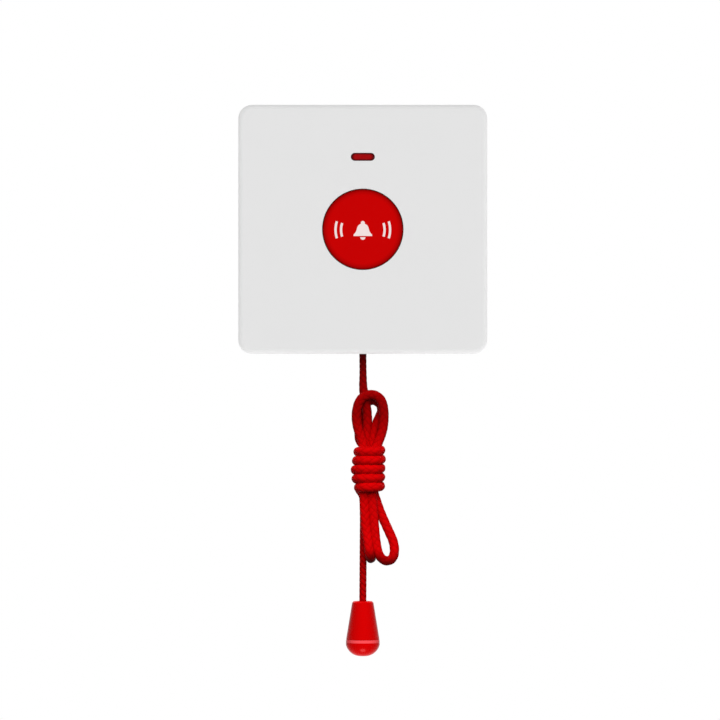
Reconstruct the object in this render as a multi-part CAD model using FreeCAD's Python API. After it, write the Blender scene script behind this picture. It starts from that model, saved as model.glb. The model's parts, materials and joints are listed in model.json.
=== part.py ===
import FreeCAD, Part
import math
import os

# Wall call point with a push button and a pull cord, one STEP file for each piece.
# Millimetres. X is right, Z is up, the wall is the plane y = 0 and the front faces -Y.
# The origin is the centre of the back plate's rear face.

V = FreeCAD.Vector
X_AXIS = V(1, 0, 0)
Y_AXIS = V(0, 1, 0)
Z_AXIS = V(0, 0, 1)

# ---- Driving dimensions -------------------------------------------------------------

# housing
plate_side = 86.0
plate_depth = 17.0
plate_corner = 4.7
front_edge_radius = 1.8
side_wall = 2.0
front_wall = 2.2
wall_standoff = 0.4
base_thickness = 2.0
base_gap = 0.3
rib_thickness = 1.2
rib_depth = 2.0
rib_offset_z = 8.0
rib_offset_x = 10.0

# wall screws, on the spacing of a flush box
wall_screw_inset = 13.0
wall_slot_width = 4.4
wall_slot_length = 9.0
wall_slot_land = 1.2
wall_recess_margin = 2.4
tape_recess_width = 50.0
tape_recess_height = 12.0
tape_recess_depth = 0.4
tape_recess_z = 20.0

# snap hooks between the two shells
snap_width = 8.0
snap_thickness = 1.3
snap_reach = 6.2
snap_barb = 0.8
snap_barb_length = 2.4
snap_clearance = 0.2
catch_length = 2.0
snap_side_rise = 29.0
snap_top_x = 22.0
snap_bottom_x = 26.0
pry_notch_width = 10.0
pry_notch_depth = 1.2
pry_notch_x = 8.0

# push button
button_diameter = 27.7
button_gap = 0.2
button_proud = 0.3
button_crown = 0.6
button_edge_radius = 1.3
button_wall = 1.5
button_travel = 1.2
button_skirt_clearance = 0.5
collar_wall = 1.6
hook_count = 3
hook_width = 4.0
hook_height = 1.0
hook_grip = 0.9
hook_gap = 0.3
hook_relief = 0.8
key_width = 2.0
key_height = 0.8
key_clearance = 0.3
button_post_radius = 2.2
button_rib_width = 1.0
button_rib_height = 1.0
button_spring_seat_gap = 0.2
button_spring_seat_wall = 0.8

# switch under the button
switch_side = 6.2
switch_height = 3.5
stem_end_gap = 0.2
stem_radius = 1.7
stem_fit = 0.08
stem_inside = 1.9
stem_outside = 1.4
leg_width = 0.7
leg_thickness = 0.3
leg_reach = 1.2

# status light
light_length = 8.3
light_height = 2.75
light_z = 25.0
light_fit = 0.1
light_proud = 0.1
light_edge_radius = 0.35
light_flange = 1.0
light_flange_thickness = 0.8
light_pipe_gap = 0.6
led_radius = 1.5
led_height = 4.2
led_rim = 0.4
led_rim_height = 1.0

# circuit board
board_drop = 9.0
board_thickness = 1.6
board_half_width = 23.5
board_top = 32.0
board_channel_gap = 0.9
board_leg_left = 11.9
board_leg_rise = 7.0
board_corner = 1.2
boss_radius = 2.4
boss_inset = 3.0
board_screw_radius = 1.0
board_screw_length = 5.0
board_screw_head_radius = 1.9
board_screw_head_height = 1.3
screw_clearance = 0.05
board_hole_clearance = 0.25

# parts on the board
radio_width = 12.0
radio_height = 10.0
radio_can = 2.2
radio_x = -16.0
radio_z = 20.5
chip_length = 8.6
chip_width = 3.9
chip_height = 1.5
chip_x = 15.5
chip_z = 20.0
chip_pins = 7
chip_pin_pitch = 1.27
resonator_radius = 2.3
resonator_height = 3.3
resonator_x = 12.5
resonator_z = 27.0
capacitor_radius = 2.5
capacitor_height = 4.6
capacitor_x = 19.5
capacitor_rise = 4.0
resistor_length = 2.0
resistor_width = 1.25
resistor_height = 0.55
resistor_count = 5
resistor_pitch = 2.6
resistor_x = -16.0
resistor_rise = 3.5
antenna_radius = 1.9
antenna_wire = 0.35
antenna_turns = 6
antenna_pitch = 2.0
antenna_x = -16.0
antenna_z = 29.0

# springs
button_spring_radius = 6.4
button_spring_wire = 0.3
button_spring_turns = 3.5
pull_spring_radius = 3.1
pull_spring_wire = 0.3
pull_spring_turns = 4.5

# pull-cord mechanism
cord_diameter = 2.2
slider_width = 12.0
slider_height = 8.0
slider_front = 3.8
retainer_front_gap = 0.25
slider_back_gap = 0.4
slider_gap = 0.2
pull_travel = 4.0
stop_gap = 0.2
stop_thickness = 1.4
rail_wall = 1.4
shelf_thickness = 1.2
shelf_gap = 0.4
pull_spring_space = 8.3
pull_spring_seat_depth = 1.0
pull_spring_seat_gap = 0.2
knot_pocket_radius = 2.5
knot_pocket_depth = 3.0
cord_hole_gap = 0.3
wing_top_gap = 0.5
wing_drop = 6.0
plunger_above_wing = 1.0
wing_half_depth = 1.5
wing_reach = 3.1
ramp_ratio = 0.125
window_clearance = 0.3
retainer_thickness = 1.0
retainer_gap = 0.15
retainer_boss_radius = 2.1
retainer_boss_rise = 3.5
retainer_screw_radius = 0.9
retainer_screw_length = 5.0
retainer_screw_head_radius = 1.6
retainer_screw_head_height = 0.4

# switch beside the slider
pull_switch_length = 5.2
pull_switch_width = 6.0
pull_switch_height = 5.0
pull_switch_gap = 0.3
plunger_radius = 1.0
plunger_fit = 0.08
plunger_inside = 2.0
plunger_gap = 0.1
plunger_axis_height = 2.8

# cord guide in the bottom wall
guide_half_width = 3.0
guide_fit = 0.1
guide_flange = 1.5
guide_flange_thickness = 1.1
guide_bore_gap = 0.4
guide_flare = 1.1

# battery and contacts
battery_radius = 5.15
battery_rise = 16.0
battery_side_gap = 0.6
saddle_gap = 0.15
battery_cap_radius = 2.6
battery_cap_height = 0.8
battery_back_gap = 0.4
cradle_thickness = 1.5
cradle_inset = 7.0
contact_thickness = 0.4
contact_width = 7.0
contact_bow = 1.0
contact_wall = 1.2
contact_tab = 2.0
wire_radius = 0.45
wire_lead = 2.4
wire_steps = ((0.0, 0.0, 3.2), (4.2, -0.6, 7.0), (11.2, -0.5, 7.6))
wire_pad_inset = 1.5
wire_pad_rise = 7.9
wire_stub = 2.9

# hanging cord and its hank, whose outlines are pairs of circles: x, drop below the exit, radius
hank_cord_diameter = 2.9
hank_wrap_drop = 32.7
hank_wrap_count = 5
hank_wrap_pitch = 3.0
hank_wrap_half = 5.8
hank_wrap_corner = 4.3
hank_wrap_x = 1.75
hank_neck_radius = 4.0
hank_loop = ((2.45, 18.95, 6.15), (1.75, 29.5, 4.3))
hank_loop_front = 3.4
hank_loop_back = 4.8
hank_eye = ((4.4, 18.7, 0.9), (3.2, 23.2, 0.45))
hank_bundle = ((2.2, 45.7, 3.0), (2.5, 67.9, 3.1))
hank_side_loop = ((7.7, 68.5, 4.7), (4.2, 45.7, 1.45))
hank_side_gap = ((8.2, 67.8, 1.7), (6.2, 60.0, 0.55))

# tail of the cord below the hank: distance behind the cord's line, drop below the exit
tail_route = ((4.2, 47.7), (3.95, 57.0), (2.3, 72.0), (1.9, 86.8))

# toggle at the end of the cord
toggle_drop = 85.7
toggle_top_radius = 3.7
toggle_base_radius = 5.8
toggle_cone_height = 13.3
toggle_rim_height = 1.1
toggle_side_height = 0.7
toggle_dome_height = 3.9
toggle_wall = 1.3
toggle_top_wall = 2.6
toggle_bore_gap = 0.3
toggle_edge = 0.5
toggle_spigot = 3.0
toggle_spigot_wall = 1.2
toggle_spigot_fit = 0.1
knot_radius = 2.2
knot_height = 3.4

# ---- Derived places -----------------------------------------------------------------

half = plate_side / 2
front_y = -plate_depth
front_inner = front_y + front_wall
cavity_half = half - side_wall
cavity_corner = max(plate_corner - side_wall, 0.5)
base_front = -base_thickness
base_half = cavity_half - base_gap
board_y = front_y + board_drop
board_rear_y = board_y + board_thickness
wall_screw_spacing = plate_side - 2 * wall_screw_inset
button_radius = button_diameter / 2
collar_inner = button_radius + button_gap
skirt_end = board_y - button_skirt_clearance - button_travel
hook_front = skirt_end - hook_height
collar_end = hook_front - hook_gap
button_edge_y = front_y - button_proud
button_inner_y = front_y + button_wall
switch_front = board_y - switch_height
stem_front = switch_front - stem_outside
cord_radius = cord_diameter / 2
exit_z = -half
retainer_front = front_inner + retainer_front_gap + retainer_screw_head_height
retainer_back = retainer_front + retainer_thickness
rail_front = retainer_back + retainer_gap
slider_front_y = rail_front + slider_gap
cord_y = slider_front_y + slider_front
rail_inner = slider_width / 2 + slider_gap
rail_outer = rail_inner + rail_wall
slider_back_y = base_front - slider_back_gap
shelf_bottom = guide_flange_thickness + shelf_gap - cavity_half
shelf_top = shelf_bottom + shelf_thickness
slider_bottom = shelf_top + pull_spring_space
slider_top = slider_bottom + slider_height
channel_top = slider_top + stop_gap + stop_thickness
board_bottom = channel_top + board_channel_gap
board_leg_bottom = exit_z + board_leg_rise
capacitor_z = board_bottom + capacitor_rise
resistor_z = board_bottom + resistor_rise
snap_side_z = half - snap_side_rise
retainer_boss_z = shelf_bottom + retainer_boss_rise
retainer_boss_x = rail_outer + retainer_boss_radius - rail_wall / 2
wing_y = board_y - plunger_axis_height
wing_z = slider_top - wing_top_gap
wing_face_x = slider_width / 2 + wing_reach
plunger_z = wing_z - wing_drop + plunger_above_wing
pull_switch_x = board_leg_left + pull_switch_gap
battery_y = base_front - battery_back_gap - battery_radius
battery_z = exit_z + battery_rise
battery_right = rail_wall / 2 - rail_outer - contact_wall - contact_thickness - battery_cap_height
battery_left = battery_side_gap + contact_wall + contact_thickness + contact_bow - cavity_half
hank_wrap_top = exit_z - hank_wrap_drop
hank_wrap_bottom = hank_wrap_top - hank_wrap_count * hank_wrap_pitch
hank_radius = hank_cord_diameter / 2
toggle_top = exit_z - toggle_drop
toggle_y = cord_y + tail_route[-1][0]


# ---- Helpers ------------------------------------------------------------------------

def box(x0, x1, y0, y1, z0, z1):
    """A box between two corners."""
    return Part.makeBox(x1 - x0, y1 - y0, z1 - z0, V(x0, y0, z0))


def rod_x(y, z, radius, x0, x1):
    return Part.makeCylinder(radius, x1 - x0, V(x0, y, z), X_AXIS)


def rod_y(x, z, radius, y0, y1):
    return Part.makeCylinder(radius, y1 - y0, V(x, y0, z), Y_AXIS)


def rod_z(x, y, radius, z0, z1):
    return Part.makeCylinder(radius, z1 - z0, V(x, y, z0), Z_AXIS)


def rounded_plate(width, height, corner, y0, y1, x=0.0, z=0.0):
    """A plate standing in the XZ plane, with its four corners rounded."""
    plate = box(x - width / 2, x + width / 2, y0, y1, z - height / 2, z + height / 2)
    corners = [e for e in plate.Edges if abs(e.Vertexes[0].Y - e.Vertexes[1].Y) > 1e-6]
    return plate.makeFillet(corner, corners)


def pill(length, height, y0, y1, x=0.0, z=0.0):
    """A slot shape lying along X, extruded along Y."""
    reach = (length - height) / 2
    body = box(x - reach, x + reach, y0, y1, z - height / 2, z + height / 2)
    ends = [rod_y(x + side * reach, z, height / 2, y0, y1) for side in (-1, 1)]
    return body.multiFuse(ends).removeSplitter()


def polygon_prism(points, direction):
    """A closed outline of points, extruded along a vector."""
    wire = Part.makePolygon(points + [points[0]])
    return Part.Face(wire).extrude(direction)


def edges_at(shape, axis, value):
    """The edges that lie wholly on one plane across an axis."""
    chosen = []
    for edge in shape.Edges:
        box_of = edge.BoundBox
        low, high = (getattr(box_of, axis + end) for end in ("Min", "Max"))
        if abs(low - value) < 1e-4 and abs(high - value) < 1e-4:
            chosen.append(edge)
    return chosen


def turned_y(shape, angle):
    """A copy turned about the housing's front-to-back axis."""
    copy = shape.copy()
    copy.rotate(V(0, 0, 0), Y_AXIS, angle)
    return copy


def ring_y(inner, outer, y0, y1):
    return rod_y(0, 0, outer, y0, y1).cut(rod_y(0, 0, inner, y0 - 1, y1 + 1))


def two_circle_plate(circles, y0, y1):
    """The convex outline round two circles (x, drop below the exit, radius), extruded along Y."""
    (x1, drop1, r1), (x2, drop2, r2) = circles
    z1, z2 = exit_z - drop1, exit_z - drop2
    gap = math.hypot(x2 - x1, z2 - z1)
    along = math.atan2(z2 - z1, x2 - x1)
    lean = math.acos((r1 - r2) / gap)

    def spot(x, z, radius, angle):
        return V(x + radius * math.cos(angle), y0, z + radius * math.sin(angle))

    a1, a2 = spot(x1, z1, r1, along + lean), spot(x1, z1, r1, along - lean)
    b1, b2 = spot(x2, z2, r2, along + lean), spot(x2, z2, r2, along - lean)
    far1, far2 = spot(x1, z1, r1, along + math.pi), spot(x2, z2, r2, along)
    edges = [
        Part.Arc(a1, far1, a2).toShape(),
        Part.LineSegment(a2, b2).toShape(),
        Part.Arc(b2, far2, b1).toShape(),
        Part.LineSegment(b1, a1).toShape(),
    ]
    return Part.Face(Part.Wire(edges)).extrude(V(0, y1 - y0, 0))


def coil_spring(radius, wire, turns, length):
    """A compression spring standing on the XY plane, its wire kept within the length."""
    height = length - 2 * wire
    helix = Part.makeLongHelix(height / turns, height, radius)
    section = Part.Wire(Part.makeCircle(wire, V(radius, 0, 0), Y_AXIS))
    spring = Part.Wire(helix).makePipeShell([section], True, True)
    spring.translate(V(0, 0, wire))
    return spring


def cord_tube(points, radius, name):
    """A tube along straight runs joined by tangent arcs, each arc as large as its runs allow."""
    runs = [(b - a).Length for a, b in zip(points, points[1:])]
    edges = []
    start = points[0]
    for i in range(1, len(points) - 1):
        before = (points[i - 1] - points[i]).normalize()
        after = (points[i + 1] - points[i]).normalize()
        turn = math.pi - before.getAngle(after)
        cut = 0.45 * min(runs[i - 1], runs[i])
        bend = cut / math.tan(turn / 2)
        middle = (before + after).normalize()
        apex = points[i] + middle * (bend / math.cos(turn / 2) - bend)
        enter = points[i] + before * cut
        leave = points[i] + after * cut
        edges.append(Part.LineSegment(start, enter).toShape())
        edges.append(Part.Arc(enter, apex, leave).toShape())
        print(name, "bend", i, "radius", round(bend, 1), "mm")
        start = leave
    edges.append(Part.LineSegment(start, points[-1]).toShape())
    path = Part.Wire(edges)
    section = Part.Wire(Part.makeCircle(radius, points[0], points[1] - points[0]))
    tube = path.makePipeShell([section], True, False)
    share = tube.Volume / (math.pi * radius**2 * path.Length)
    print(name, "length", round(path.Length, 1), "volume over section times length", round(share, 4))
    return tube


# ---- Housing ------------------------------------------------------------------------

def snap_places():
    """(turn about Y, offset along the wall) of each hook, the top wall being at turn 0."""
    return [
        (0, snap_top_x),
        (0, -snap_top_x),
        (90, snap_side_z),
        (270, -snap_side_z),
        (180, snap_bottom_x),
        (180, -snap_bottom_x),
    ]


def snap_catch(offset):
    """The ledge inside the cover's top wall that a hook's barb grips."""
    rear = base_front - snap_reach + snap_barb_length + snap_clearance + catch_length
    top = cavity_half + side_wall / 2
    ledge = cavity_half - snap_barb
    return box(offset - snap_width / 2, offset + snap_width / 2, rear - catch_length, rear, ledge, top)


def snap_arm(offset):
    """A hook that stands on the back plate, with its barb facing the cover's top wall."""
    outer = cavity_half - snap_barb - snap_clearance
    tip = base_front - snap_reach
    arm = box(
        offset - snap_width / 2, offset + snap_width / 2, tip, base_front, outer - snap_thickness, outer
    )
    barb = polygon_prism(
        [
            V(offset - snap_width / 2, tip, outer),
            V(offset - snap_width / 2, tip + snap_barb_length, outer),
            V(offset - snap_width / 2, tip + snap_barb_length, outer + snap_barb),
            V(offset - snap_width / 2, tip + snap_barb_length * 0.7, outer + snap_barb),
        ],
        V(snap_width, 0, 0),
    )
    return arm.fuse(barb)


def guide_slot(clearance):
    """The slot shape in the bottom wall that the cord guide fills, open to the rear."""
    width = guide_half_width + clearance
    low, high = exit_z - 1, -cavity_half + 1
    return rod_z(0, cord_y, width, low, high).fuse(box(-width, width, cord_y, 1, low, high))


def front_cover():
    outer = rounded_plate(plate_side, plate_side, plate_corner, front_y, -wall_standoff)
    outer = outer.makeFillet(front_edge_radius, edges_at(outer, "Y", front_y))
    cavity = rounded_plate(2 * cavity_half, 2 * cavity_half, cavity_corner, front_inner, 1)
    cover = outer.cut(cavity)
    ribs = []
    inner_reach = math.sqrt(collar_inner**2 - rib_offset_z**2) + collar_wall / 2
    for side in (-1, 1):
        ends = sorted((side * inner_reach, side * (cavity_half + side_wall / 2)))
        for z in (-rib_offset_z, rib_offset_z):
            ribs.append(box(ends[0], ends[1], front_inner, front_inner + rib_depth,
                            z - rib_thickness / 2, z + rib_thickness / 2))
        x = side * rib_offset_x
        low = math.sqrt(collar_inner**2 - rib_offset_x**2) + collar_wall / 2
        ribs.append(box(x - rib_thickness / 2, x + rib_thickness / 2, front_inner,
                        front_inner + rib_depth, low, cavity_half + side_wall / 2))
    ribs = [r.cut(rod_y(0, 0, collar_inner + collar_wall / 2, front_y, 0)) for r in ribs]
    collar = rod_y(0, 0, collar_inner + collar_wall, front_inner - front_wall / 2, collar_end)
    catches = [turned_y(snap_catch(offset), angle) for angle, offset in snap_places()]
    cover = cover.multiFuse(ribs + [collar] + catches)
    hole = rod_y(0, 0, collar_inner, front_y - 1, collar_end + 1)
    key_reach = collar_inner + key_height
    key_half = key_width / 2 + key_clearance
    keyway = box(-key_reach, key_reach, front_y + button_wall, collar_end + 1, -key_half, key_half)
    light = pill(light_length, light_height, front_y - 1, front_inner + 1, 0, light_z)
    notches = [
        box(x - pry_notch_width / 2, x + pry_notch_width / 2, -wall_standoff - pry_notch_depth, 1,
            exit_z - 1, -cavity_half + 1)
        for x in (-pry_notch_x - pry_notch_width / 2, pry_notch_x + pry_notch_width / 2)
    ]
    return cover.cut(hole.multiFuse([keyway, light, guide_slot(guide_fit)] + notches))


def board_boss_places():
    side = board_half_width - boss_inset
    top = board_top - boss_inset
    low_left = board_bottom + boss_inset
    low_right = board_leg_bottom + boss_inset
    return [(-side, top), (side, top), (-side, low_left), (side, low_right)]


def wall_slots():
    """The two screw slots, with a recess on the room side for the screws' heads."""
    cuts = []
    for x in (-wall_screw_spacing / 2, wall_screw_spacing / 2):
        cuts.append(pill(wall_slot_length, wall_slot_width, base_front - 1, 1, x))
        cuts.append(
            pill(wall_slot_length + wall_recess_margin * 2, wall_slot_width + wall_recess_margin * 2,
                 base_front - 1, -wall_slot_land, x)
        )
    return cuts


def slider_channel():
    """Rails, spring shelf, stop bar and retainer bosses that stand on the back plate."""
    rails = [
        box(-rail_outer, -rail_inner, rail_front, base_front, shelf_bottom, channel_top),
        box(rail_inner, rail_outer, rail_front, base_front, shelf_bottom, channel_top),
    ]
    shelf = box(-rail_inner, rail_inner, rail_front, base_front, shelf_bottom, shelf_top)
    stop = box(-rail_inner, rail_inner, rail_front, base_front, slider_top + stop_gap, channel_top)
    bosses = [
        rod_y(side * retainer_boss_x, retainer_boss_z, retainer_boss_radius, rail_front, base_front)
        for side in (-1, 1)
    ]
    channel = shelf.multiFuse(rails + [stop] + bosses)
    cord_way = rod_z(0, cord_y, cord_radius + cord_hole_gap, shelf_bottom - 1, shelf_top + 1)
    knot_way = rod_z(0, cord_y, knot_pocket_radius, slider_top, channel_top + 1)
    window = box(
        rail_inner - 1, rail_outer + 1,
        wing_y - wing_half_depth - window_clearance, wing_y + wing_half_depth + window_clearance,
        wing_z - wing_drop - pull_travel - window_clearance, wing_z + window_clearance,
    )
    pilots = [
        rod_y(side * retainer_boss_x, retainer_boss_z, retainer_screw_radius + screw_clearance,
              rail_front - 1, base_front - 1)
        for side in (-1, 1)
    ]
    return channel.cut(cord_way.multiFuse([knot_way, window] + pilots))


def battery_holder():
    """Two end walls and two saddles that carry the battery."""
    left, right = battery_left, battery_right
    wall_front = battery_y - battery_radius / 2
    low, high = battery_z - battery_radius, battery_z + battery_radius
    outer_left = left - contact_bow - contact_thickness - contact_wall
    outer_right = right + battery_cap_height + contact_thickness
    walls = [
        box(outer_left, outer_left + contact_wall, wall_front, base_front, low, high),
        box(outer_right, outer_right + contact_wall, wall_front, base_front, low, high),
    ]
    seat = rod_x(battery_y, battery_z, battery_radius + saddle_gap, left - 1, right + 1)
    for x in (left + cradle_inset, right - cradle_inset):
        saddle = box(x - cradle_thickness / 2, x + cradle_thickness / 2, battery_y, base_front,
                     low - 1, high + 1)
        walls.append(saddle.cut(seat))
    return walls


def back_plate():
    plate = rounded_plate(2 * base_half, 2 * base_half, cavity_corner - base_gap, base_front, 0)
    standing = [slider_channel()] + battery_holder()
    standing += [turned_y(snap_arm(offset), angle) for angle, offset in snap_places()]
    for x, z in board_boss_places():
        standing.append(rod_y(x, z, boss_radius, board_rear_y, base_front))
    plate = plate.multiFuse(standing)
    cuts = wall_slots()
    for angle, offset in snap_places():
        relief = box(offset - snap_width / 2 - snap_clearance, offset + snap_width / 2 + snap_clearance,
                     base_front, 1, cavity_half - snap_barb - snap_clearance, half)
        cuts.append(turned_y(relief, angle))
    for x, z in board_boss_places():
        cuts.append(rod_y(x, z, board_screw_radius + screw_clearance, board_rear_y - 1, base_front + 1))
    for z in (-tape_recess_z, tape_recess_z):
        cuts.append(rounded_plate(tape_recess_width, tape_recess_height, board_corner,
                                  -tape_recess_depth, 1, 0, z))
    return plate.cut(cuts[0].multiFuse(cuts[1:]))


def cord_guide():
    """A trumpet-mouthed plug that slides into the slot of the bottom wall."""
    body = rod_z(0, cord_y, guide_half_width, exit_z, -cavity_half)
    body = body.fuse(box(-guide_half_width, guide_half_width, cord_y, -wall_standoff,
                         exit_z, -cavity_half))
    flange_half = guide_half_width + guide_flange
    flange = rod_z(0, cord_y, flange_half, -cavity_half, -cavity_half + guide_flange_thickness)
    flange = flange.fuse(box(-flange_half, flange_half, cord_y, base_front,
                             -cavity_half, -cavity_half + guide_flange_thickness))
    bore = cord_radius + guide_bore_gap
    flare = Part.makeCone(bore + guide_flare, bore, guide_flare * 1.6, V(0, cord_y, exit_z), Z_AXIS)
    way = rod_z(0, cord_y, bore, exit_z - 1, -cavity_half + guide_flange_thickness + 1)
    return body.fuse(flange).removeSplitter().cut(way.fuse(flare))


# ---- Push button --------------------------------------------------------------------

def button_cap():
    """A crowned cap on a skirt, with retaining hooks, two keys and the post that works the switch."""
    inner = button_radius - button_wall
    edge_r = button_radius - button_edge_radius
    lean = math.sqrt(0.5)
    crown_y = button_edge_y - button_crown
    mid_r = edge_r / 2
    mid_y = button_edge_y - button_crown * 0.75
    corner = V(edge_r + button_edge_radius * lean, button_edge_y + button_edge_radius * (1 - lean), 0)
    edges = [
        Part.Arc(V(0, crown_y, 0), V(mid_r, mid_y, 0), V(edge_r, button_edge_y, 0)).toShape(),
        Part.Arc(V(edge_r, button_edge_y, 0), corner,
                 V(button_radius, button_edge_y + button_edge_radius, 0)).toShape(),
    ]
    rest = [
        V(button_radius, button_edge_y + button_edge_radius, 0),
        V(button_radius, skirt_end, 0),
        V(inner, skirt_end, 0),
        V(inner, button_inner_y, 0),
        V(0, button_inner_y, 0),
        V(0, crown_y, 0),
    ]
    edges += [Part.LineSegment(a, b).toShape() for a, b in zip(rest, rest[1:])]
    cap = Part.Face(Part.Wire(edges)).revolve(V(0, 0, 0), Y_AXIS, 360)
    reach = collar_inner + hook_grip
    pieces = [rod_y(0, 0, button_post_radius, button_inner_y, stem_front)]
    for k in range(4):
        rib = box(0, button_spring_radius - 2 * button_spring_wire - button_spring_seat_gap,
                  button_inner_y, button_inner_y + button_rib_height,
                  -button_rib_width / 2, button_rib_width / 2)
        pieces.append(turned_y(rib, 45 + 90 * k))
    seat_inner = button_spring_radius + button_spring_wire + button_spring_seat_gap
    pieces.append(ring_y(seat_inner, seat_inner + button_spring_seat_wall,
                         button_inner_y, button_inner_y + button_rib_height))
    for side in (-1, 1):
        ends = sorted((side * (inner + button_wall / 2), side * (collar_inner + key_height - key_clearance)))
        pieces.append(box(ends[0], ends[1], front_y + button_wall + key_clearance, skirt_end,
                          -key_width / 2, key_width / 2))
    reliefs = []
    for k in range(hook_count):
        angle = 90 + 360 * k / hook_count
        hook = box(inner + button_wall / 2, reach, hook_front, skirt_end, -hook_width / 2, hook_width / 2)
        pieces.append(turned_y(hook, angle))
        for side in (-1, 1):
            z = side * (hook_width + hook_relief) / 2
            relief = box(inner - 1, button_radius + 1, hook_front - 3, skirt_end + 1,
                         z - hook_relief / 2, z + hook_relief / 2)
            reliefs.append(turned_y(relief, angle))
    cap = cap.multiFuse(pieces)
    return cap.cut(reliefs[0].multiFuse(reliefs[1:]))


def button_switch_body():
    side = switch_side / 2
    body = box(-side, side, switch_front, board_y, -side, side)
    legs = []
    for x_side in (-1, 1):
        for z in (-side * 0.7, side * 0.7):
            ends = sorted((x_side * (side - 0.5), x_side * (side + leg_reach)))
            legs.append(box(ends[0], ends[1], board_y - leg_thickness, board_y,
                            z - leg_width / 2, z + leg_width / 2))
    bore = rod_y(0, 0, stem_radius + stem_fit, switch_front - 1,
                 switch_front + stem_inside + button_travel + stem_end_gap)
    return body.multiFuse(legs).cut(bore)


def button_switch_stem():
    return rod_y(0, 0, stem_radius, stem_front, switch_front + stem_inside)


def button_spring():
    spring = coil_spring(button_spring_radius, button_spring_wire, button_spring_turns,
                         board_y - button_inner_y)
    spring.rotate(V(0, 0, 0), X_AXIS, 90)
    spring.translate(V(0, board_y, 0))
    return spring


# ---- Status light and circuit board -------------------------------------------------

def led_lens():
    """The light pipe: a pill-shaped window with a flange behind the front wall."""
    led_front = board_y - led_height
    window = pill(light_length - 2 * light_fit, light_height - 2 * light_fit,
                  front_y - light_proud, led_front - light_pipe_gap, 0, light_z)
    flange = pill(light_length + 2 * light_flange, light_height + 2 * light_flange,
                  front_inner, front_inner + light_flange_thickness, 0, light_z)
    lens = window.fuse(flange)
    return lens.makeFillet(light_edge_radius, edges_at(lens, "Y", front_y - light_proud))


def status_led():
    tip = board_y - led_height
    body = rod_y(0, light_z, led_radius, tip + led_radius, board_y)
    dome = Part.makeSphere(led_radius, V(0, tip + led_radius, light_z))
    rim = rod_y(0, light_z, led_radius + led_rim, board_y - led_rim_height, board_y)
    return body.multiFuse([dome, rim])


def circuit_board():
    right = board_half_width
    outline = [
        V(-right, board_y, board_bottom), V(-right, board_y, board_top),
        V(right, board_y, board_top), V(right, board_y, board_leg_bottom),
        V(board_leg_left, board_y, board_leg_bottom), V(board_leg_left, board_y, board_bottom),
    ]
    board = polygon_prism(outline, V(0, board_thickness, 0))
    corners = [e for e in board.Edges if abs(e.Vertexes[0].Y - e.Vertexes[1].Y) > 1e-6]
    board = board.makeFillet(board_corner, corners)
    holes = [
        rod_y(x, z, board_screw_radius + board_hole_clearance, board_y - 1, board_rear_y + 1)
        for x, z in board_boss_places()
    ]
    return board.cut(holes[0].multiFuse(holes[1:]))


def board_screws():
    screws = []
    for x, z in board_boss_places():
        head = rod_y(x, z, board_screw_head_radius, board_y - board_screw_head_height, board_y)
        head = head.makeFillet(board_screw_head_height * 0.45,
                               edges_at(head, "Y", board_y - board_screw_head_height))
        shank = rod_y(x, z, board_screw_radius, board_y - board_screw_head_height / 2,
                      board_y + board_screw_length)
        screws.append(head.fuse(shank))
    return Part.makeCompound(screws)


def radio_module():
    board = box(radio_x - radio_width / 2, radio_x + radio_width / 2, board_y - 0.8, board_y,
                radio_z - radio_height / 2, radio_z + radio_height / 2)
    can = rounded_plate(radio_width - 2, radio_height - 2, 0.8, board_y - 0.8 - radio_can,
                        board_y - 0.8, radio_x, radio_z)
    can = can.makeFillet(0.4, edges_at(can, "Y", board_y - 0.8 - radio_can))
    return board.fuse(can)


def encoder_chip():
    body = box(chip_x - chip_length / 2, chip_x + chip_length / 2, board_y - chip_height,
               board_y - 0.1, chip_z - chip_width / 2, chip_z + chip_width / 2)
    pins = []
    for i in range(chip_pins):
        x = chip_x + (i - (chip_pins - 1) / 2) * chip_pin_pitch
        pins.append(box(x - 0.2, x + 0.2, board_y - 0.3, board_y,
                        chip_z - chip_width / 2 - 1, chip_z + chip_width / 2 + 1))
    return body.multiFuse(pins)


def resonator():
    can = rod_y(resonator_x, resonator_z, resonator_radius, board_y - resonator_height, board_y)
    rim = rod_y(resonator_x, resonator_z, resonator_radius + 0.4, board_y - 0.5, board_y)
    top = edges_at(can, "Y", board_y - resonator_height)
    return can.makeFillet(0.4, top).fuse(rim)


def smoothing_capacitor():
    can = rod_y(capacitor_x, capacitor_z, capacitor_radius, board_y - capacitor_height, board_y)
    can = can.makeFillet(0.4, edges_at(can, "Y", board_y - capacitor_height))
    groove = ring_y(capacitor_radius - 0.25, capacitor_radius + 1, board_y - 1.6, board_y - 1.1)
    groove.translate(V(capacitor_x, 0, capacitor_z))
    return can.cut(groove)


def surface_resistors():
    chips = []
    for i in range(resistor_count):
        x = resistor_x + i * resistor_pitch
        chips.append(box(x - resistor_width / 2, x + resistor_width / 2, board_y - resistor_height,
                         board_y, resistor_z - resistor_length / 2, resistor_z + resistor_length / 2))
    return Part.makeCompound(chips)


def antenna_coil():
    length = antenna_turns * antenna_pitch + 2 * antenna_wire
    coil = coil_spring(antenna_radius, antenna_wire, antenna_turns, length)
    coil.rotate(V(0, 0, 0), Y_AXIS, 90)
    coil.translate(V(antenna_x, board_y - antenna_radius - antenna_wire, antenna_z))
    return coil


# ---- Battery ------------------------------------------------------------------------

def battery():
    left, right = battery_left, battery_right
    cell = rod_x(battery_y, battery_z, battery_radius, left, right)
    ends = edges_at(cell, "X", left) + edges_at(cell, "X", right)
    cell = cell.makeFillet(0.6, ends)
    return cell.fuse(rod_x(battery_y, battery_z, battery_cap_radius, right - 1,
                           right + battery_cap_height))


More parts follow.
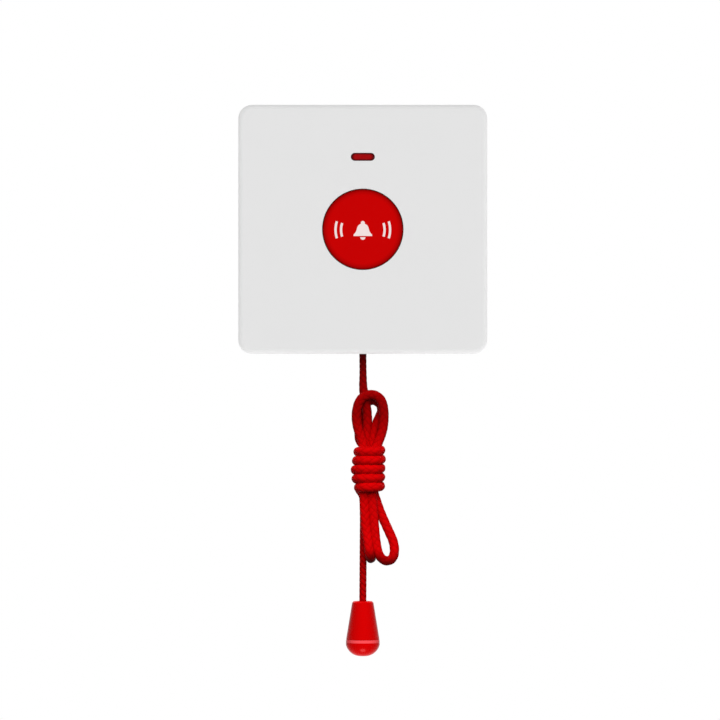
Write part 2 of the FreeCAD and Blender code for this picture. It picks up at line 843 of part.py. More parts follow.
def battery_contact_positive():
    """A flat plate held against the end wall, with a tab that reaches the board."""
    right = battery_right + battery_cap_height
    low, high = battery_z - contact_width / 2, board_bottom + contact_tab
    plate = box(right, right + contact_thickness, battery_y - contact_width / 2,
                base_front - battery_back_gap, low, battery_z + contact_width / 2)
    tab = box(right, right + contact_thickness, board_y - 2 * contact_thickness, board_y,
              battery_z, high)
    return plate.fuse(tab)


def battery_contact_negative():
    """A bowed leaf between the end wall and the battery."""
    left = battery_left
    back = left - contact_bow - contact_thickness
    half_width = contact_width / 2
    front, rear = battery_y - half_width, base_front - battery_back_gap
    middle = (front + rear) / 2
    outline = [
        V(back, rear, battery_z - half_width),
        V(back + contact_thickness, rear, battery_z - half_width),
    ]
    inner = Part.Arc(outline[1], V(left, middle, battery_z - half_width),
                     V(back + contact_thickness, front, battery_z - half_width)).toShape()
    outer = Part.Arc(V(back, front, battery_z - half_width),
                     V(left - contact_thickness, middle, battery_z - half_width),
                     outline[0]).toShape()
    ends = [
        Part.LineSegment(outline[0], outline[1]).toShape(),
        Part.LineSegment(V(back + contact_thickness, front, battery_z - half_width),
                         V(back, front, battery_z - half_width)).toShape(),
    ]
    wire = Part.Wire([ends[0], inner, ends[1], outer])
    return Part.Face(wire).extrude(V(0, 0, contact_width))


def battery_wire():
    """The lead from the bowed contact's top edge to its pad on the board."""
    bow = contact_bow * (1 - (2 * wire_lead / contact_width) ** 2)
    middle = (battery_y - contact_width / 2 + base_front - battery_back_gap) / 2
    start = V(battery_left - contact_bow - contact_thickness / 2 + bow, middle - wire_lead,
              battery_z + contact_width / 2)
    pad = V(wire_pad_inset - board_half_width, board_y, board_bottom + wire_pad_rise)
    points = [start] + [start + V(*step) for step in wire_steps] + [pad - V(0, wire_stub, 0), pad]
    return cord_tube(points, wire_radius, "battery_wire")


# ---- Pull-cord mechanism ------------------------------------------------------------

def pull_slider():
    """The block that the cord's knot sits in, with the wing that works the switch."""
    side = slider_width / 2
    block = box(-side, side, slider_front_y, slider_back_y, slider_bottom, slider_top)
    sides = [e for e in block.Edges if abs(e.Vertexes[0].Z - e.Vertexes[1].Z) > 1e-6]
    block = block.makeFillet(0.5, sides)
    low = wing_z - wing_drop
    face_low = wing_face_x + (low - plunger_z) * ramp_ratio
    face_high = wing_face_x + (wing_z - plunger_z) * ramp_ratio
    front = wing_y - wing_half_depth
    wing = polygon_prism(
        [V(side - 1, front, low), V(face_low, front, low), V(face_high, front, wing_z),
         V(side - 1, front, wing_z)],
        V(0, 2 * wing_half_depth, 0),
    )
    pocket = rod_z(0, cord_y, knot_pocket_radius, slider_top - knot_pocket_depth, slider_top + 1)
    way = rod_z(0, cord_y, cord_radius + cord_hole_gap, slider_bottom - 1, slider_top + 1)
    seat = rod_z(0, cord_y, pull_spring_radius + pull_spring_wire + pull_spring_seat_gap,
                 slider_bottom - 1, slider_bottom + pull_spring_seat_depth)
    return block.fuse(wing).cut(pocket.multiFuse([way, seat]))


def pull_spring():
    spring = coil_spring(pull_spring_radius, pull_spring_wire, pull_spring_turns,
                         pull_spring_space + pull_spring_seat_depth)
    spring.translate(V(0, cord_y, shelf_top))
    return spring


def slider_retainer():
    """The plate screwed over the channel's open front."""
    plate = box(-rail_outer, rail_outer, retainer_front, retainer_back,
                retainer_boss_z - retainer_boss_radius, channel_top)
    ears = [
        rod_y(side * retainer_boss_x, retainer_boss_z, retainer_boss_radius, retainer_front,
              retainer_back)
        for side in (-1, 1)
    ]
    holes = [
        rod_y(side * retainer_boss_x, retainer_boss_z, retainer_screw_radius + board_hole_clearance,
              retainer_front - 1, retainer_back + 1)
        for side in (-1, 1)
    ]
    return plate.multiFuse(ears).cut(holes[0].fuse(holes[1]))


def retainer_screws():
    front = retainer_front
    screws = []
    for side in (-1, 1):
        x = side * retainer_boss_x
        head = rod_y(x, retainer_boss_z, retainer_screw_head_radius,
                     front - retainer_screw_head_height, front)
        shank = rod_y(x, retainer_boss_z, retainer_screw_radius, front, front + retainer_screw_length)
        screws.append(head.fuse(shank))
    return Part.makeCompound(screws)


def pull_switch_body():
    right = pull_switch_x + pull_switch_length
    body = box(pull_switch_x, right, board_y - pull_switch_height, board_y,
               plunger_z - pull_switch_width / 2, plunger_z + pull_switch_width / 2)
    bore_end = pull_switch_x + plunger_inside + pull_travel * ramp_ratio + stem_end_gap
    bore = rod_x(wing_y, plunger_z, plunger_radius + plunger_fit, pull_switch_x - 1, bore_end)
    return body.cut(bore)


def pull_switch_plunger():
    """A round-nosed pin whose tip follows the slider's ramp."""
    slope = math.atan(ramp_ratio)
    centre_x = wing_face_x + (plunger_gap + plunger_radius) / math.cos(slope)
    nose = Part.makeSphere(plunger_radius, V(centre_x, wing_y, plunger_z))
    pin = rod_x(wing_y, plunger_z, plunger_radius, centre_x, pull_switch_x + plunger_inside)
    return nose.fuse(pin)


# ---- Cord and toggle ----------------------------------------------------------------

def knot(x, y, bottom):
    """A stopper knot: a rounded lump that stands on its seat."""
    lump = rod_z(x, y, knot_radius, bottom, bottom + knot_height)
    ends = edges_at(lump, "Z", bottom) + edges_at(lump, "Z", bottom + knot_height)
    return lump.makeFillet(knot_height * 0.35, ends)


def pull_cord_inner():
    seat = slider_top - knot_pocket_depth
    tube = rod_z(0, cord_y, cord_radius, exit_z + cord_radius, seat + knot_height / 2)
    return tube.fuse(knot(0, cord_y, seat))


def cord_hank(tail):
    """The outer shape of the hank: a top loop, the wrapped barrel, the bundle and an open loop."""
    wrap_width = 2 * hank_wrap_half
    parts = []
    for i in range(hank_wrap_count):
        top = hank_wrap_top - i * hank_wrap_pitch
        turn = box(hank_wrap_x - hank_wrap_half, hank_wrap_x + hank_wrap_half,
                   cord_y - hank_wrap_half, cord_y + hank_wrap_half, top - hank_wrap_pitch, top)
        corners = [e for e in turn.Edges if abs(e.Vertexes[0].Z - e.Vertexes[1].Z) > 1e-6]
        turn = turn.makeFillet(hank_wrap_corner, corners)
        rims = edges_at(turn, "Z", top) + edges_at(turn, "Z", top - hank_wrap_pitch)
        parts.append(turn.makeFillet(hank_wrap_pitch * 0.42, rims))
    top_loop = two_circle_plate(hank_loop, cord_y - hank_loop_front, cord_y + hank_loop_back)
    neck = rod_z(hank_wrap_x, cord_y, hank_neck_radius, hank_wrap_bottom + 1, hank_wrap_top + 3)
    eye = two_circle_plate(hank_eye, cord_y - wrap_width, cord_y + wrap_width)
    strands = (cord_y - hank_cord_diameter, cord_y + hank_cord_diameter)
    bundle = two_circle_plate(hank_bundle, *strands)
    side_loop = two_circle_plate(hank_side_loop, *strands)
    gap = two_circle_plate(hank_side_gap, cord_y - wrap_width, cord_y + wrap_width)
    plates = []
    for plate in (top_loop, bundle, side_loop):
        rims = edges_at(plate, "Y", plate.BoundBox.YMin) + edges_at(plate, "Y", plate.BoundBox.YMax)
        plates.append(plate.makeFillet(hank_radius * 0.85, rims))
    plates[0] = plates[0].cut(eye)
    plates[2] = plates[2].cut(gap)
    return neck.multiFuse(parts + plates).cut(tail)


def pull_cord_upper(hank):
    """The hanging stretch above the hank, round-ended where it swings about the exit."""
    ball = Part.makeSphere(cord_radius, V(0, cord_y, exit_z))
    tube = rod_z(0, cord_y, cord_radius, exit_z - hank_loop[0][1], exit_z)
    return tube.fuse(ball).cut(hank)


def pull_cord_lower():
    """The tail that leaves the barrel behind the bundle and hangs down to the toggle."""
    points = [V(0, cord_y + behind, exit_z - drop) for behind, drop in tail_route]
    tail = cord_tube(points, cord_radius, "pull_cord_lower")
    return tail.fuse(Part.makeSphere(cord_radius, points[-1]))


def toggle_profile(points):
    """A solid of revolution about the toggle's axis from (radius, z) points."""
    outline = [V(r, 0, z) for r, z in points]
    shape = Part.Face(Part.makePolygon(outline + [outline[0]])).revolve(V(0, 0, 0), Z_AXIS, 360)
    shape.translate(V(0, toggle_y, 0))
    return shape


def toggle_body():
    """The bell: a hollow cone with a flared cord hole in its top."""
    bottom = toggle_top - toggle_cone_height
    roof = toggle_top - toggle_top_wall
    bore = cord_radius + toggle_bore_gap
    slope = (toggle_base_radius - toggle_top_radius) / toggle_cone_height
    roof_r = toggle_top_radius + slope * toggle_top_wall - toggle_wall
    bell = toggle_profile([
        (bore + 0.9, toggle_top),
        (toggle_top_radius - toggle_edge, toggle_top),
        (toggle_top_radius, toggle_top - toggle_edge),
        (toggle_base_radius, bottom),
        (toggle_base_radius - toggle_wall, bottom),
        (roof_r, roof),
        (bore, roof),
        (bore, toggle_top - 1.6),
    ])
    return bell


def toggle_cap():
    """The domed plug that closes the bell, with a bright rim at the joint."""
    top = toggle_top - toggle_cone_height
    side = top - toggle_rim_height
    shoulder = side - toggle_side_height
    tip = shoulder - toggle_dome_height
    outer = toggle_base_radius + 0.05
    spigot_r = toggle_base_radius - toggle_wall - toggle_spigot_fit - 0.35
    blend = math.sqrt(0.5)
    shell = toggle_dome_height - toggle_spigot_wall
    edges = [
        Part.Arc(V(0, 0, tip), V(outer * blend, 0, shoulder - toggle_dome_height * blend),
                 V(outer, 0, shoulder)).toShape(),
    ]
    rest = [
        V(outer, 0, shoulder),
        V(outer, 0, top - 0.25),
        V(outer - 0.25, 0, top),
        V(spigot_r, 0, top),
        V(spigot_r, 0, top + toggle_spigot),
        V(spigot_r - toggle_spigot_wall, 0, top + toggle_spigot),
        V(spigot_r - toggle_spigot_wall, 0, side),
        V(0, 0, side - shell * 0.5),
        V(0, 0, tip),
    ]
    edges += [Part.LineSegment(a, b).toShape() for a, b in zip(rest, rest[1:])]
    cap = Part.Face(Part.Wire(edges)).revolve(V(0, 0, 0), Z_AXIS, 360)
    cap.translate(V(0, toggle_y, 0))
    return cap


def toggle_knot():
    """The knot that carries the toggle, drawn up against the roof of the bell."""
    roof = toggle_top - toggle_top_wall
    neck = rod_z(0, toggle_y, cord_radius, roof - knot_height / 2, roof + 0.2)
    return knot(0, toggle_y, roof - knot_height).fuse(neck)


# ---- Files --------------------------------------------------------------------------

tail_solid = pull_cord_lower()
hank_solid = cord_hank(tail_solid)
pieces = {
    "front_cover": front_cover(),
    "back_plate": back_plate(),
    "cord_guide": cord_guide(),
    "button_cap": button_cap(),
    "button_switch_body": button_switch_body(),
    "button_switch_stem": button_switch_stem(),
    "button_spring": button_spring(),
    "led_lens": led_lens(),
    "status_led": status_led(),
    "circuit_board": circuit_board(),
    "board_screws": board_screws(),
    "radio_module": radio_module(),
    "encoder_chip": encoder_chip(),
    "resonator": resonator(),
    "smoothing_capacitor": smoothing_capacitor(),
    "surface_resistors": surface_resistors(),
    "antenna_coil": antenna_coil(),
    "battery": battery(),
    "battery_contact_positive": battery_contact_positive(),
    "battery_contact_negative": battery_contact_negative(),
    "battery_wire": battery_wire(),
    "pull_slider": pull_slider(),
    "pull_spring": pull_spring(),
    "slider_retainer": slider_retainer(),
    "retainer_screws": retainer_screws(),
    "pull_switch_body": pull_switch_body(),
    "pull_switch_plunger": pull_switch_plunger(),
    "pull_cord_inner": pull_cord_inner(),
    "pull_cord_upper": pull_cord_upper(hank_solid),
    "cord_hank": hank_solid,
    "pull_cord_lower": tail_solid,
    "toggle_body": toggle_body(),
    "toggle_cap": toggle_cap(),
    "toggle_knot": toggle_knot(),
}

os.makedirs("parts", exist_ok=True)
for name, shape in pieces.items():
    print(name, "solids", len(shape.Solids), "valid", shape.isValid(), "volume", round(shape.Volume, 1))
    shape.exportStep(f"parts/{name}.step")
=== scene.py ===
"""Looks of a wall call button with a pull cord, laid out as an add-on with one operator for each piece."""

import json
import math

import bpy
from bpy.props import FloatProperty, FloatVectorProperty, PointerProperty
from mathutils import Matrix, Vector


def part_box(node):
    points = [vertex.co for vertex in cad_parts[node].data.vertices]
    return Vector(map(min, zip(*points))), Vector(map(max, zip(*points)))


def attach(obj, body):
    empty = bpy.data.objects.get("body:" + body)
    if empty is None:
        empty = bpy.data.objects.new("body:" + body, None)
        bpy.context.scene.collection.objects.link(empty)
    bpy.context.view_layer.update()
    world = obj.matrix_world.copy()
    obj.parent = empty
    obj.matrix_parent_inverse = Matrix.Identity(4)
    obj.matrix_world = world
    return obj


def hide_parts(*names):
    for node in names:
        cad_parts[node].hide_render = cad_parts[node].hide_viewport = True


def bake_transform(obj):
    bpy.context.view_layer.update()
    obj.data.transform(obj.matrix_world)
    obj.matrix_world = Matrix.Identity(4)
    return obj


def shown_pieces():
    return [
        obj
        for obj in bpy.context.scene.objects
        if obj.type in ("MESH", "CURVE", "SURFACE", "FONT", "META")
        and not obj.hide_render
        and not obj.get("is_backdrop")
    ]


bl_info = {
    "name": "Wall Call Button",
    "version": (1, 0, 0),
    "blender": (4, 5, 0),
    "location": "3D View > Sidebar > Call Button",
    "description": "Dresses the parts of a wall call button: cord, knots, pictogram, finishes and stage",
    "category": "Object",
}

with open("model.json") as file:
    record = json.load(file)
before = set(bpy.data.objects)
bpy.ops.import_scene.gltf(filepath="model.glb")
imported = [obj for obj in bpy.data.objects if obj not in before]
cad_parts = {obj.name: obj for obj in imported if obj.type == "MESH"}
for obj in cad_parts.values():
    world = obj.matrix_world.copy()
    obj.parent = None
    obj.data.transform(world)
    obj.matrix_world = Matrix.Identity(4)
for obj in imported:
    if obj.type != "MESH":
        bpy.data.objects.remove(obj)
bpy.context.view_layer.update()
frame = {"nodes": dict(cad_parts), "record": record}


# -------------------- properties


def length_property(name, description, default):
    """Return a property for a length in metres."""
    return FloatProperty(name=name, description=description, default=default, min=0.0,
                         unit="LENGTH", subtype="DISTANCE", precision=5)


def colour_property(name, description, default):
    """Return a property for a colour, in linear light."""
    return FloatVectorProperty(name=name, description=description, default=default, min=0.0, max=1.0,
                               size=3, subtype="COLOR")


class CordProperties(bpy.types.PropertyGroup):
    """Sizes and colours of the braided cord."""

    tight_diameter: length_property("Tight Diameter", "Cord where its load pulls it straight", 0.0024)
    slack_diameter: length_property("Slack Diameter", "Cord in the hank, where nothing pulls it", 0.0032)
    relief: length_property("Braid Relief", "Height of the yarns above the gaps between them", 0.00012)
    stitch: FloatProperty(name="Stitch", description="Length of a stitch of the braid, in diameters",
                          default=0.79)
    wrap_pitch: length_property("Wrap Pitch", "Distance between two turns round the hank", 0.0031)
    yarn: colour_property("Yarn", "Top of the braid's yarns", (0.74, 0.0006, 0.0016))
    gap: colour_property("Gap", "Shade between the yarns", (0.50, 0.0002, 0.0004))


# -------------------- the cord


CORD_LINE_Y = -0.0090
# Distance between two rings of the cord's mesh.
CORD_STEP = 0.00025
# The cord is tight up to these distances from its ends, and slack a swell's length further in.
TIGHT_AT_START = 0.024
TIGHT_AT_END = 0.028
SWELL_LENGTH = 0.012

# Control points of the cord's own spline, in metres, from the slider's pocket to the toggle.
CORD_DROP = (
    (0.0, -0.0090, -0.0240),
    (0.0, -0.0090, -0.0430),
    (0.0001, -0.0089, -0.0500),
    (0.0001, -0.0087, -0.0555),
    (0.0013, -0.0084, -0.0610),
    (0.0018, -0.0080, -0.0670),
    (0.0008, -0.0074, -0.0740),
    (0.0003, -0.0074, -0.0830),
    (0.0005, -0.0074, -0.0900),
)
REAR_STRAND_DOWN = (
    (0.0015, -0.0074, -0.0965),
    (0.0022, -0.0072, -0.1035),
    (0.0029, -0.0062, -0.1085),
    (0.0032, -0.0058, -0.1112),
    (0.0031, -0.0070, -0.1133),
    (0.0028, -0.0092, -0.1140),
    (0.0025, -0.0114, -0.1132),
    (0.0022, -0.0124, -0.1110),
    (0.0019, -0.0119, -0.1082),
)
FRONT_STRAND_UP = (
    (0.0011, -0.0106, -0.1040),
    (0.0006, -0.01055, -0.0980),
    (0.0003, -0.01055, -0.0900),
    (0.0003, -0.01055, -0.0800),
    (0.0003, -0.0105, -0.0745),
)
FRONT_LOOP = (
    (-0.0018, -0.0107, -0.0690),
    (-0.0025, -0.0109, -0.0640),
    (-0.0013, -0.0110, -0.0590),
    (0.0013, -0.0110, -0.0571),
    (0.0042, -0.0110, -0.0570),
    (0.0067, -0.0109, -0.0590),
    (0.0075, -0.0108, -0.0635),
    (0.0071, -0.0107, -0.0690),
    (0.0055, -0.0106, -0.0735),
)
FRONT_STRAND_DOWN = (
    (0.0033, -0.01055, -0.0780),
    (0.0031, -0.01055, -0.0870),
    (0.0033, -0.0105, -0.0950),
    (0.0040, -0.0105, -0.1020),
)
SIDE_LOOP = (
    (0.0045, -0.0103, -0.1080),
    (0.0055, -0.0111, -0.1129),
    (0.0080, -0.0103, -0.1150),
    (0.0108, -0.0085, -0.1138),
    (0.0111, -0.0074, -0.1090),
    (0.0086, -0.0074, -0.1035),
    (0.0061, -0.0075, -0.0980),
    (0.0044, -0.0077, -0.0930),
)
REAR_STRAND_UP = (
    (0.0034, -0.0074, -0.0900),
    (0.0032, -0.0074, -0.0810),
    (0.0033, -0.0074, -0.0740),
)
REAR_LOOP = (
    (0.0039, -0.0072, -0.0695),
    (0.0053, -0.0070, -0.0657),
    (0.0066, -0.0068, -0.0632),
    (0.0065, -0.0067, -0.0610),
    (0.0052, -0.0066, -0.0595),
    (0.0032, -0.0065, -0.0589),
    (0.0013, -0.0064, -0.0596),
    (0.0000, -0.0062, -0.0616),
    (-0.0006, -0.0058, -0.0650),
    (-0.0012, -0.0053, -0.0690),
    (-0.0014, -0.0048, -0.0718),
    (-0.0006, -0.0044, -0.0742),
)
CORD_TAIL = (
    (-0.0009, -0.0050, -0.0905),
    (0.0001, -0.0043, -0.0917),
    (0.0004, -0.0042, -0.0938),
    (0.0003, -0.0045, -0.0965),
    (0.0002, -0.0051, -0.1010),
    (0.0001, -0.0067, -0.1150),
    (0.0, -0.0071, -0.1298),
)
# Middle and half width of each turn round the hank, seen from the front. The last pair is where they end.
WRAP_TURNS = ((0.0021, 0.0040), (0.0024, 0.0041), (0.0020, 0.0043), (0.0018, 0.0045), (0.0019, 0.0042),
              (0.0024, 0.0038))
# Half of the turns' depth, to the middle of the cord.
WRAP_DEPTH = 0.0052
# Height of the first turn's start before it is tipped, and its direction: the hank's left rear corner.
WRAP_START = -0.0747
WRAP_CORNER = math.radians(135)
WRAP_POINTS = 16
# Points of the first turn that are left out, so that the loop behind runs into it.
WRAP_LEAD = 2
# How far a turn is tipped down at its right and up at its left, which lays its front nearly level.
WRAP_LEVEL = 0.0005
# Power that gives the turns their section: 1 is an ellipse, and less is squarer.
WRAP_POWER = 0.9


def wrap_route(cord):
    """Return the control points of the turns round the hank, from behind it downwards."""
    points = []
    for step in range(WRAP_LEAD, (len(WRAP_TURNS) - 1) * WRAP_POINTS):
        turn, share = step // WRAP_POINTS, step % WRAP_POINTS / WRAP_POINTS
        (middle, reach), (next_middle, next_reach) = WRAP_TURNS[turn:turn + 2]
        middle += (next_middle - middle) * share
        reach += (next_reach - reach) * share
        angle = WRAP_CORNER - math.tau * step / WRAP_POINTS
        across, behind = (math.copysign(abs(part) ** WRAP_POWER, part)
                          for part in (math.cos(angle), math.sin(angle)))
        points.append((middle + reach * across, CORD_LINE_Y + WRAP_DEPTH * behind,
                       WRAP_START - cord.wrap_pitch * step / WRAP_POINTS - WRAP_LEVEL * math.cos(angle)))
    return points


def cord_route(cord):
    """Return all control points of the cord's spline."""
    return [*CORD_DROP, *REAR_STRAND_DOWN, *FRONT_STRAND_UP, *FRONT_LOOP, *FRONT_STRAND_DOWN, *SIDE_LOOP,
            *REAR_STRAND_UP, *REAR_LOOP, *wrap_route(cord), *CORD_TAIL]


def smooth_line(name, points, cyclic=False, resolution=24):
    """Return the points along a NURBS spline that has the given control points."""
    curve = bpy.data.curves.new(name, "CURVE")
    curve.dimensions = "3D"
    curve.resolution_u = resolution
    spline = curve.splines.new("NURBS")
    spline.points.add(len(points) - 1)
    for control, point in zip(spline.points, points):
        control.co = (*point, 1.0)
    spline.order_u = 3
    spline.use_cyclic_u = cyclic
    spline.use_endpoint_u = not cyclic
    holder = bpy.data.objects.new(name, curve)
    line = bpy.data.meshes.new_from_object(holder)
    places = [vertex.co.copy() for vertex in line.vertices]
    bpy.data.objects.remove(holder)
    bpy.data.curves.remove(curve)
    bpy.data.meshes.remove(line)
    return places


def evenly_spaced(line, gap):
    """Return points a fixed gap apart along a line of points, with the gap trimmed to fit a whole number."""
    travelled = [0.0]
    for first, second in zip(line, line[1:]):
        travelled.append(travelled[-1] + (second - first).length)
    count = max(2, round(travelled[-1] / gap))
    places = []
    leg = 0
    for step in range(count + 1):
        goal = travelled[-1] * step / count
        while leg < len(line) - 2 and travelled[leg + 1] < goal:
            leg += 1
        span = travelled[leg + 1] - travelled[leg]
        places.append(line[leg].lerp(line[leg + 1], (goal - travelled[leg]) / span))
    return places


def untwisted_frames(line):
    """Return two cross directions at each point of a line, which don't twist about it."""
    frames = []
    side = Vector((1.0, 0.0, 0.0))
    for index in range(len(line)):
        ahead = line[min(index + 1, len(line) - 1)] - line[max(index - 1, 0)]
        ahead.normalize()
        side = (side - ahead * side.dot(ahead)).normalized()
        frames.append((side, ahead.cross(side)))
    return frames


def braid_height(turn, stitches):
    """Return the height, from 0 to 1, of an eight-yarn braid at a share of a turn and a count of stitches."""
    rising, falling = 4 * turn + stitches, 4 * turn - stitches
    crossing = (math.floor(rising) + math.floor(falling)) % 4
    top, under = (rising, falling) if crossing < 2 else (falling, rising)
    across = 2 * (top % 1) - 1
    along = (crossing % 2) + under % 1 - 1
    return math.sqrt(max(0.0, 1 - across ** 2) * max(0.0, 1 - along ** 4))


def smooth_step(value):
    """Return an S-shaped ramp from 0 to 1."""
    value = min(max(value, 0.0), 1.0)
    return value * value * (3 - 2 * value)


def cord_radii(cord, line):
    """Return the cord's radius at each point: tight at both straight ends, slack in the hank."""
    gap = (line[1] - line[0]).length
    radii = []
    for index in range(len(line)):
        from_start = index * gap
        from_end = (len(line) - 1 - index) * gap
        slack = (smooth_step((from_start - TIGHT_AT_START) / SWELL_LENGTH)
                 * smooth_step((from_end - TIGHT_AT_END) / SWELL_LENGTH))
        radii.append((cord.tight_diameter + (cord.slack_diameter - cord.tight_diameter) * slack) / 2)
    return radii


def braided_tube(name, line, radii, cord, sides=40):
    """Return a closed tube along a line, with the braid's relief in its mesh and its lay in its UV map.

    Its attribute "slack" runs from 0, where the cord is pulled tight, to 1, where it is loose.
    """
    gap = (line[1] - line[0]).length
    vertices, stitches = [], []
    count = 0.0
    for place, radius, (side, up) in zip(line, radii, untwisted_frames(line)):
        count += gap / (2 * radius * cord.stitch)
        stitches.append(count)
        relief = cord.relief * radius / (cord.slack_diameter / 2)
        for step in range(sides):
            turn = step / sides
            reach = radius + relief * (braid_height(turn, count) - 0.5)
            outward = side * math.cos(math.tau * turn) + up * math.sin(math.tau * turn)
            vertices.append(place + outward * reach)
    rings = len(line)
    faces = [(ring * sides + step, ring * sides + (step + 1) % sides,
              (ring + 1) * sides + (step + 1) % sides, (ring + 1) * sides + step)
             for ring in range(rings - 1) for step in range(sides)]
    faces.append(tuple(reversed(range(sides))))
    faces.append(tuple(range((rings - 1) * sides, rings * sides)))
    mesh = bpy.data.meshes.new(name)
    mesh.from_pydata(vertices, [], faces)
    lay = mesh.uv_layers.new(name="lay")
    corners = []
    for ring in range(rings - 1):
        for step in range(sides):
            for turn, along in ((step, ring), (step + 1, ring), (step + 1, ring + 1), (step, ring + 1)):
                corners += (turn / sides, stitches[along])
    corners += [0.0] * (4 * sides)
    lay.data.foreach_set("uv", corners)
    slack = mesh.attributes.new("slack", "FLOAT", "POINT")
    slack.data.foreach_set("value", [
        (2 * radius - cord.tight_diameter) / (cord.slack_diameter - cord.tight_diameter)
        for radius in radii for step in range(sides)])
    mesh.shade_smooth()
    mesh.update()
    piece = bpy.data.objects.new(name, mesh)
    bpy.context.scene.collection.objects.link(piece)
    return piece


class CALLBUTTON_OT_hanging_cord(bpy.types.Operator):
    """Braid the pull cord along its route, with its hank"""

    bl_idname = "callbutton.hanging_cord"
    bl_label = "Hanging Cord"
    bl_options = {"REGISTER", "UNDO"}

    def execute(self, context):
        cord = context.scene.call_button_cord
        line = evenly_spaced(smooth_line("cord_route", cord_route(cord)), CORD_STEP)
        piece = braided_tube("hanging_cord_braid", line, cord_radii(cord, line), cord)
        piece.data.materials.append(cord_red(cord))
        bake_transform(piece)
        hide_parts("pull_cord_inner", "pull_cord_upper", "cord_hank", "pull_cord_lower")
        length = sum((second - first).length for first, second in zip(line, line[1:]))
        self.report({"INFO"}, f"cord {length * 1000:.0f} mm, {len(piece.data.polygons)} faces")
        return {"FINISHED"}


# -------------------- stopper knots


KNOT_POINTS = 36
KNOT_STEP = 0.0002
# Radius of a knot's strand as a share of the knot's own.
KNOT_STRAND = 0.3
# How far the trefoil swings in and out, as a share of its mean radius.
KNOT_SWING = 0.5
SLIDER_KNOT_HEIGHT = 0.0034


def knot_line(name, centre, radius, height, strand):
    """Return the points along a closed trefoil whose strand fits a radius and a height."""
    reach = (radius - strand) / (1 + KNOT_SWING)
    points = []
    for step in range(KNOT_POINTS):
        angle = math.tau * step / KNOT_POINTS
        out = reach + reach * KNOT_SWING * math.cos(3 * angle)
        points.append((centre.x + out * math.cos(2 * angle), centre.y + out * math.sin(2 * angle),
                       centre.z + (height / 2 - strand) * math.sin(3 * angle)))
    return smooth_line(name, points, cyclic=True)


def stopper_knot(name, cord, centre, radius, height):
    """Add a pulled-tight knot of cord that fits a radius and a height."""
    strand = radius * KNOT_STRAND
    line = knot_line(name, centre, radius, height, strand)
    line = evenly_spaced([*line, line[0]], KNOT_STEP)
    knot = braided_tube(name, line, [strand] * len(line), cord, sides=24)
    knot.data.materials.append(cord_red(cord))
    return knot


class CALLBUTTON_OT_stopper_knots(bpy.types.Operator):
    """Tie the knots that hold the cord in the slider and in the toggle"""

    bl_idname = "callbutton.stopper_knots"
    bl_label = "Stopper Knots"
    bl_options = {"REGISTER", "UNDO"}

    def execute(self, context):
        cord = context.scene.call_button_cord
        low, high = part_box("toggle_knot")
        knot = stopper_knot("toggle_stopper_knot", cord, (low + high) / 2, (high.x - low.x) / 2,
                            high.z - low.z)
        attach(knot, "toggle")
        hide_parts("toggle_knot")
        low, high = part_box("pull_cord_inner")
        centre = Vector((0.0, CORD_LINE_Y, high.z - SLIDER_KNOT_HEIGHT / 2))
        knot = stopper_knot("slider_stopper_knot", cord, centre, (high.x - low.x) / 2, SLIDER_KNOT_HEIGHT)
        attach(knot, "slider")
        return {"FINISHED"}


# -------------------- pictogram


# The flat print is drawn at this depth, in front of the button, before it is laid on the crown.
PRINT_START_Y = -0.030
# Widths of the bell from its crown to its rim, in rows of equal height, as shares of the rim's.
BELL_ROWS = (0.16, 0.44, 0.55, 0.61, 0.65, 0.69, 0.75, 0.86, 1.0, 1.0)
# Radii of the knob and the clapper, and how far the knob's middle is above the crown, in bell widths.
KNOB_RADIUS, KNOB_RISE = 0.11, 0.03
CLAPPER_RADIUS = 0.14
# How far the clapper's middle and its cut are below the rim, in strokes.
CLAPPER_DROP, CLAPPER_GAP = 0.5, 0.45


class PictogramProperties(bpy.types.PropertyGroup):
    """Sizes of the white bell that is printed on the button."""

    bell_width: length_property("Bell Width", "Across the bell's rim", 0.0064)
    bell_height: length_property("Bell Height", "From the rim to the crown", 0.0043)
    middle_height: length_property("Middle Height", "Middle of the print below the button's axis", 0.0002)
    stroke: length_property("Stroke", "Width of the ringing arcs", 0.0008)
    arc_radius: length_property("Arc Radius", "Middle of the outer ringing arc", 0.0094)
    arc_gap: length_property("Arc Gap", "Between the middles of two ringing arcs", 0.0019)
    arc_spread: FloatProperty(name="Arc Spread", description="From a ringing arc's middle to its end",
                              default=math.radians(18), unit="ROTATION", subtype="ANGLE")
    relief: length_property("Relief", "How far the print stands out", 0.00006)


def select_where(piece, wanted):
    """In edit mode, select just the vertices of a mesh whose place is wanted."""
    bpy.ops.object.mode_set(mode="OBJECT")
    for face in piece.data.polygons:
        face.select = False
    for edge in piece.data.edges:
        edge.select = False
    for vertex in piece.data.vertices:
        vertex.select = wanted(vertex.co)
    bpy.ops.object.mode_set(mode="EDIT")


def start_flat(name, add, across=0.0, height=0.0, **settings):
    """Add a flat primitive that faces the front, put its place in its mesh and start editing it."""
    bpy.ops.object.select_all(action="DESELECT")
    add(rotation=(math.radians(90), 0.0, 0.0), location=(across, PRINT_START_Y, height), **settings)
    piece = bpy.context.object
    piece.name = piece.data.name = name
    bpy.ops.object.transform_apply(location=True, rotation=True, scale=True)
    bpy.ops.object.mode_set(mode="EDIT")
    bpy.ops.mesh.select_all(action="SELECT")
    return piece


